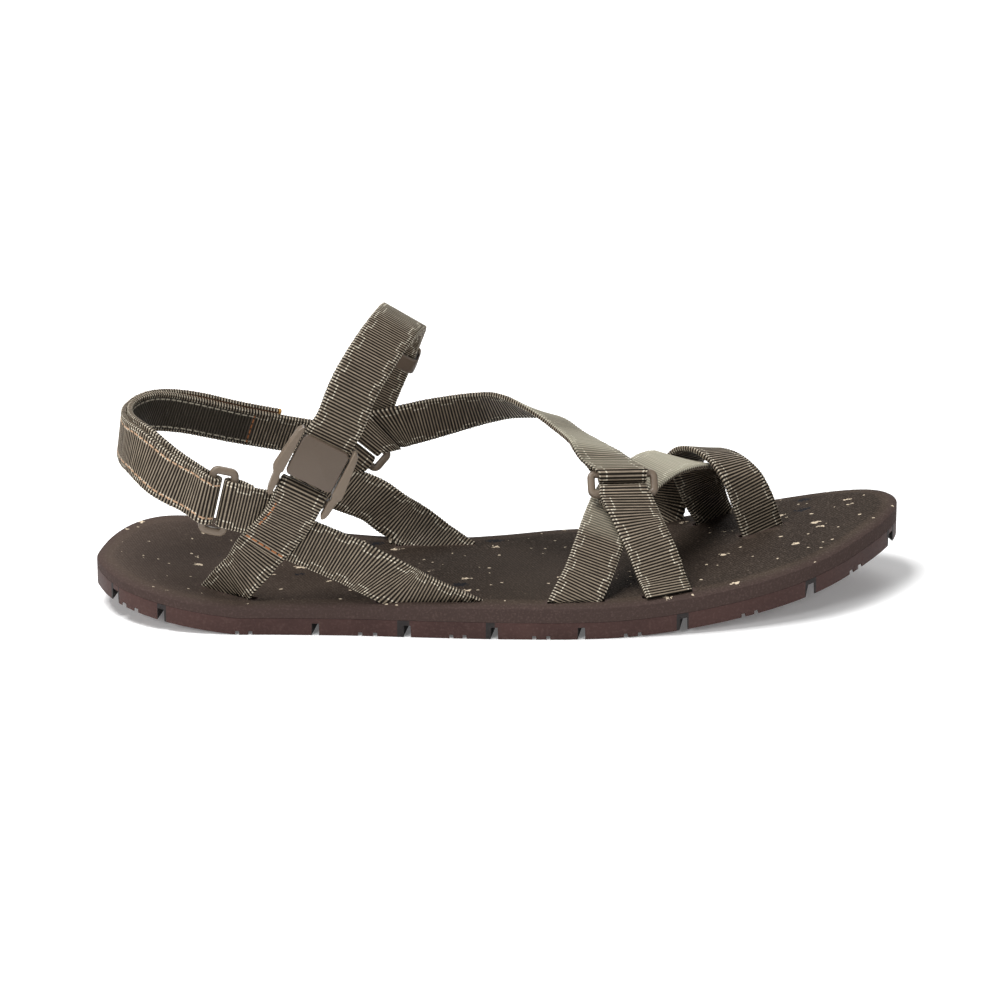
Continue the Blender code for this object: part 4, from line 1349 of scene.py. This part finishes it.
# %% Slots for the straps
def slot_cutter(path):
    """A thicker copy of a strap's foot, long enough to pass the footbed."""
    floor_point, mouth = path.points[0], path.points[1]
    side = path.across[1]
    lead = path.points[5] - mouth
    upward = Vector((0.0, 0.0, FOOTBED_THICK))
    ahead = mouth + lead * (FOOTBED_THICK / max(lead.z, FOOTBED_THICK * 0.5))
    spine = [floor_point - upward, mouth, mouth.lerp(ahead, 0.35) + upward * 0.5]
    half = path.half_width(1) + SLOT_GAP
    normal = Vector((0.0, 0.0, 1.0)).cross(side).normalized() * (WEBBING_THICK / 2 + SLOT_GAP)
    corners = ((-1, -1), (1, -1), (1, 1), (-1, 1))

    def spot(i, j):
        a, b = corners[i % 4]
        return spine[j] + side * (half * a) + normal * b, (0.0, 0.0)

    return new_object("slot", rolled_grid(4, 2, spot))


for path in (riser, arch, inner, inner_arch, leg, base, base.reversed(), toe, toe.reversed()):
    cut_away(footbed, slot_cutter(path))
footbed.data.materials.clear()
dress(footbed, bed, "footbed", "footbed", 45.0)

# %% [markdown]
# ## Outsole
# Maroon rubber, cut across into lugs by chevron grooves and nicked at its edges. Its
# colour is flecked at random with paler specks. The faces inside the grooves get a
# second, nearly black finish: painted shade that stands in for the shade inside them.

# %% Outsole finish
DARK_MAROON = (0.040, 0.0208, 0.0185)
MAROON = (0.060, 0.031, 0.027)
RUBBER_SPECK = (0.12, 0.075, 0.066)
# Nearly black tones of the painted shade inside the grooves.
GROOVE_PAINTED_SHADE = ((0.004, 0.003, 0.003), (0.016, 0.010, 0.009))

rubber = Finish("maroon_rubber", roughness=0.6)
spot_on = rubber.place()
cloud = rubber.noise(spot_on, 40.0, 4.0)
fine = rubber.noise(spot_on, 1100.0, 3.0)
maroon = rubber.mix(cloud.rise(0.3, 0.7), DARK_MAROON, MAROON)
rubber.set("Base Color", rubber.mix(fine.rise(0.5, 0.8) * 0.35, maroon, RUBBER_SPECK))
rubber.set("Roughness", fine * 0.3 + 0.42)
rubber.set("Specular IOR Level", 0.12)
rubber.bump(fine, 0.10 * MM, 0.6)

# Painted shade: the faces inside the grooves are nearly black, standing in for the shade that fills
# them.
groove_rubber = Finish("groove_rubber", roughness=0.8)
groove_noise = groove_rubber.noise(groove_rubber.place(), 700.0, 3.0)
groove_rubber.set("Base Color", groove_rubber.mix(groove_noise, *GROOVE_PAINTED_SHADE))
groove_rubber.bump(groove_noise, 0.10 * MM, 0.5)

# %% Outsole
JOINT_FILL = 0.0002
LUG_DEPTH = 0.0040
LUG_GROOVE = 0.0028
NOTCH_DEPTH = 0.0012
NOTCH_WIDTH = 0.0013
NOTCH_REACH = 0.0060
CHEVRON_ANGLE = 10.0
CHEVRON_SHIFT = 0.6
CHEVRON_REACH = SOLE_WIDTH * 0.75
GROOVE_MARGIN = 0.1 * MM
TREAD_ROUNDING = 0.00045
LUG_GROOVES = (-0.481, -0.416, -0.224, -0.111, -0.004, 0.102, 0.224, 0.373, 0.474)
EDGE_NOTCHES = (
    -0.464, -0.449, -0.326, -0.310, -0.177, -0.159, -0.067, -0.051,
    0.033, 0.050, 0.144, 0.161, 0.289, 0.305, 0.430, 0.442,
)


def outline_at(x):
    """Lateral and medial edge of the outline at one place along the sole."""
    points = sole_outline()
    low, high = 0.0, 0.0
    for p, q in zip(points, points[1:] + points[:1]):
        if (p.x - x) * (q.x - x) <= 0.0 and p.x != q.x:
            y = p.y + (q.y - p.y) * (x - p.x) / (q.x - p.x)
            low = min(low, y)
            high = max(high, y)
    return low, high


def chevron(share, width, depth, slope):
    """A groove bent like a chevron, right across the sole."""
    edge = share * SOLE_LENGTH - CHEVRON_REACH * slope * CHEVRON_SHIFT
    spine = ((-CHEVRON_REACH, edge), (0.0, edge + CHEVRON_REACH * slope), (CHEVRON_REACH, edge))
    corners = ((-1, -1), (1, -1), (0.8, 1), (-0.8, 1))

    def spot(i, j):
        a, b = corners[i % 4]
        y, x = spine[j]
        return Vector((x + a * width / 2, y, b * depth)), (0.0, 0.0)

    return rolled_grid(4, 2, spot)


def in_groove(face, slope):
    """Whether a face lies inside a lug groove: on its walls or its floor."""
    middle = face.calc_center_median()
    bend = CHEVRON_REACH * slope * (1.0 - CHEVRON_SHIFT) - abs(middle.y) * slope
    near = min(abs(middle.x - share * SOLE_LENGTH - bend) for share in LUG_GROOVES)
    beside = near < LUG_GROOVE / 2 + GROOVE_MARGIN
    return beside and GROOVE_MARGIN < middle.z < LUG_DEPTH + GROOVE_MARGIN


outsole = new_object("outsole_tread", flat_plate(OUTSOLE_THICK + JOINT_FILL))
slope = math.tan(math.radians(CHEVRON_ANGLE))
for share in LUG_GROOVES:
    cut_away(outsole, new_object("groove", chevron(share, LUG_GROOVE, LUG_DEPTH, slope)))
notches = bmesh.new()
for share in EDGE_NOTCHES:
    x_ = share * SOLE_LENGTH
    for y_ in outline_at(x_):
        made = bmesh.ops.create_cube(notches, size=1.0)["verts"]
        bmesh.ops.scale(notches, verts=made, vec=(NOTCH_WIDTH, NOTCH_REACH * 2, NOTCH_DEPTH * 2))
        bmesh.ops.translate(notches, verts=made, vec=(x_, y_, 0.0))
cut_away(outsole, new_object("notches", notches))
bm = bmesh.new()
bm.from_mesh(outsole.data)
bmesh.ops.dissolve_limit(
    bm, angle_limit=math.radians(0.5), verts=bm.verts, edges=bm.edges, use_dissolve_boundaries=False)
rims = [e for e in bm.edges if len(e.link_faces) == 2 and e.calc_face_angle() > math.radians(50)
        and min(v.co.z for v in e.verts) < OUTSOLE_THICK]
bmesh.ops.bevel(
    bm, geom=rims, offset=TREAD_ROUNDING, segments=2, profile=0.5, affect="EDGES", material=-1,
    clamp_overlap=True)
slice_mesh(bm, Vector((1.0, 0.0, 0.0)), LONG_CUTS)
for face in bm.faces:
    face.material_index = 1 if in_groove(face, slope) else 0
for vert in bm.verts:
    vert.co.z += sole_lift(vert.co.x)
bpy.data.objects.remove(outsole, do_unlink=True)
tread = finish_piece("outsole_tread", bm, rubber, "rubber", "outsole", 35.0)
tread.data.materials.append(groove_rubber.material)
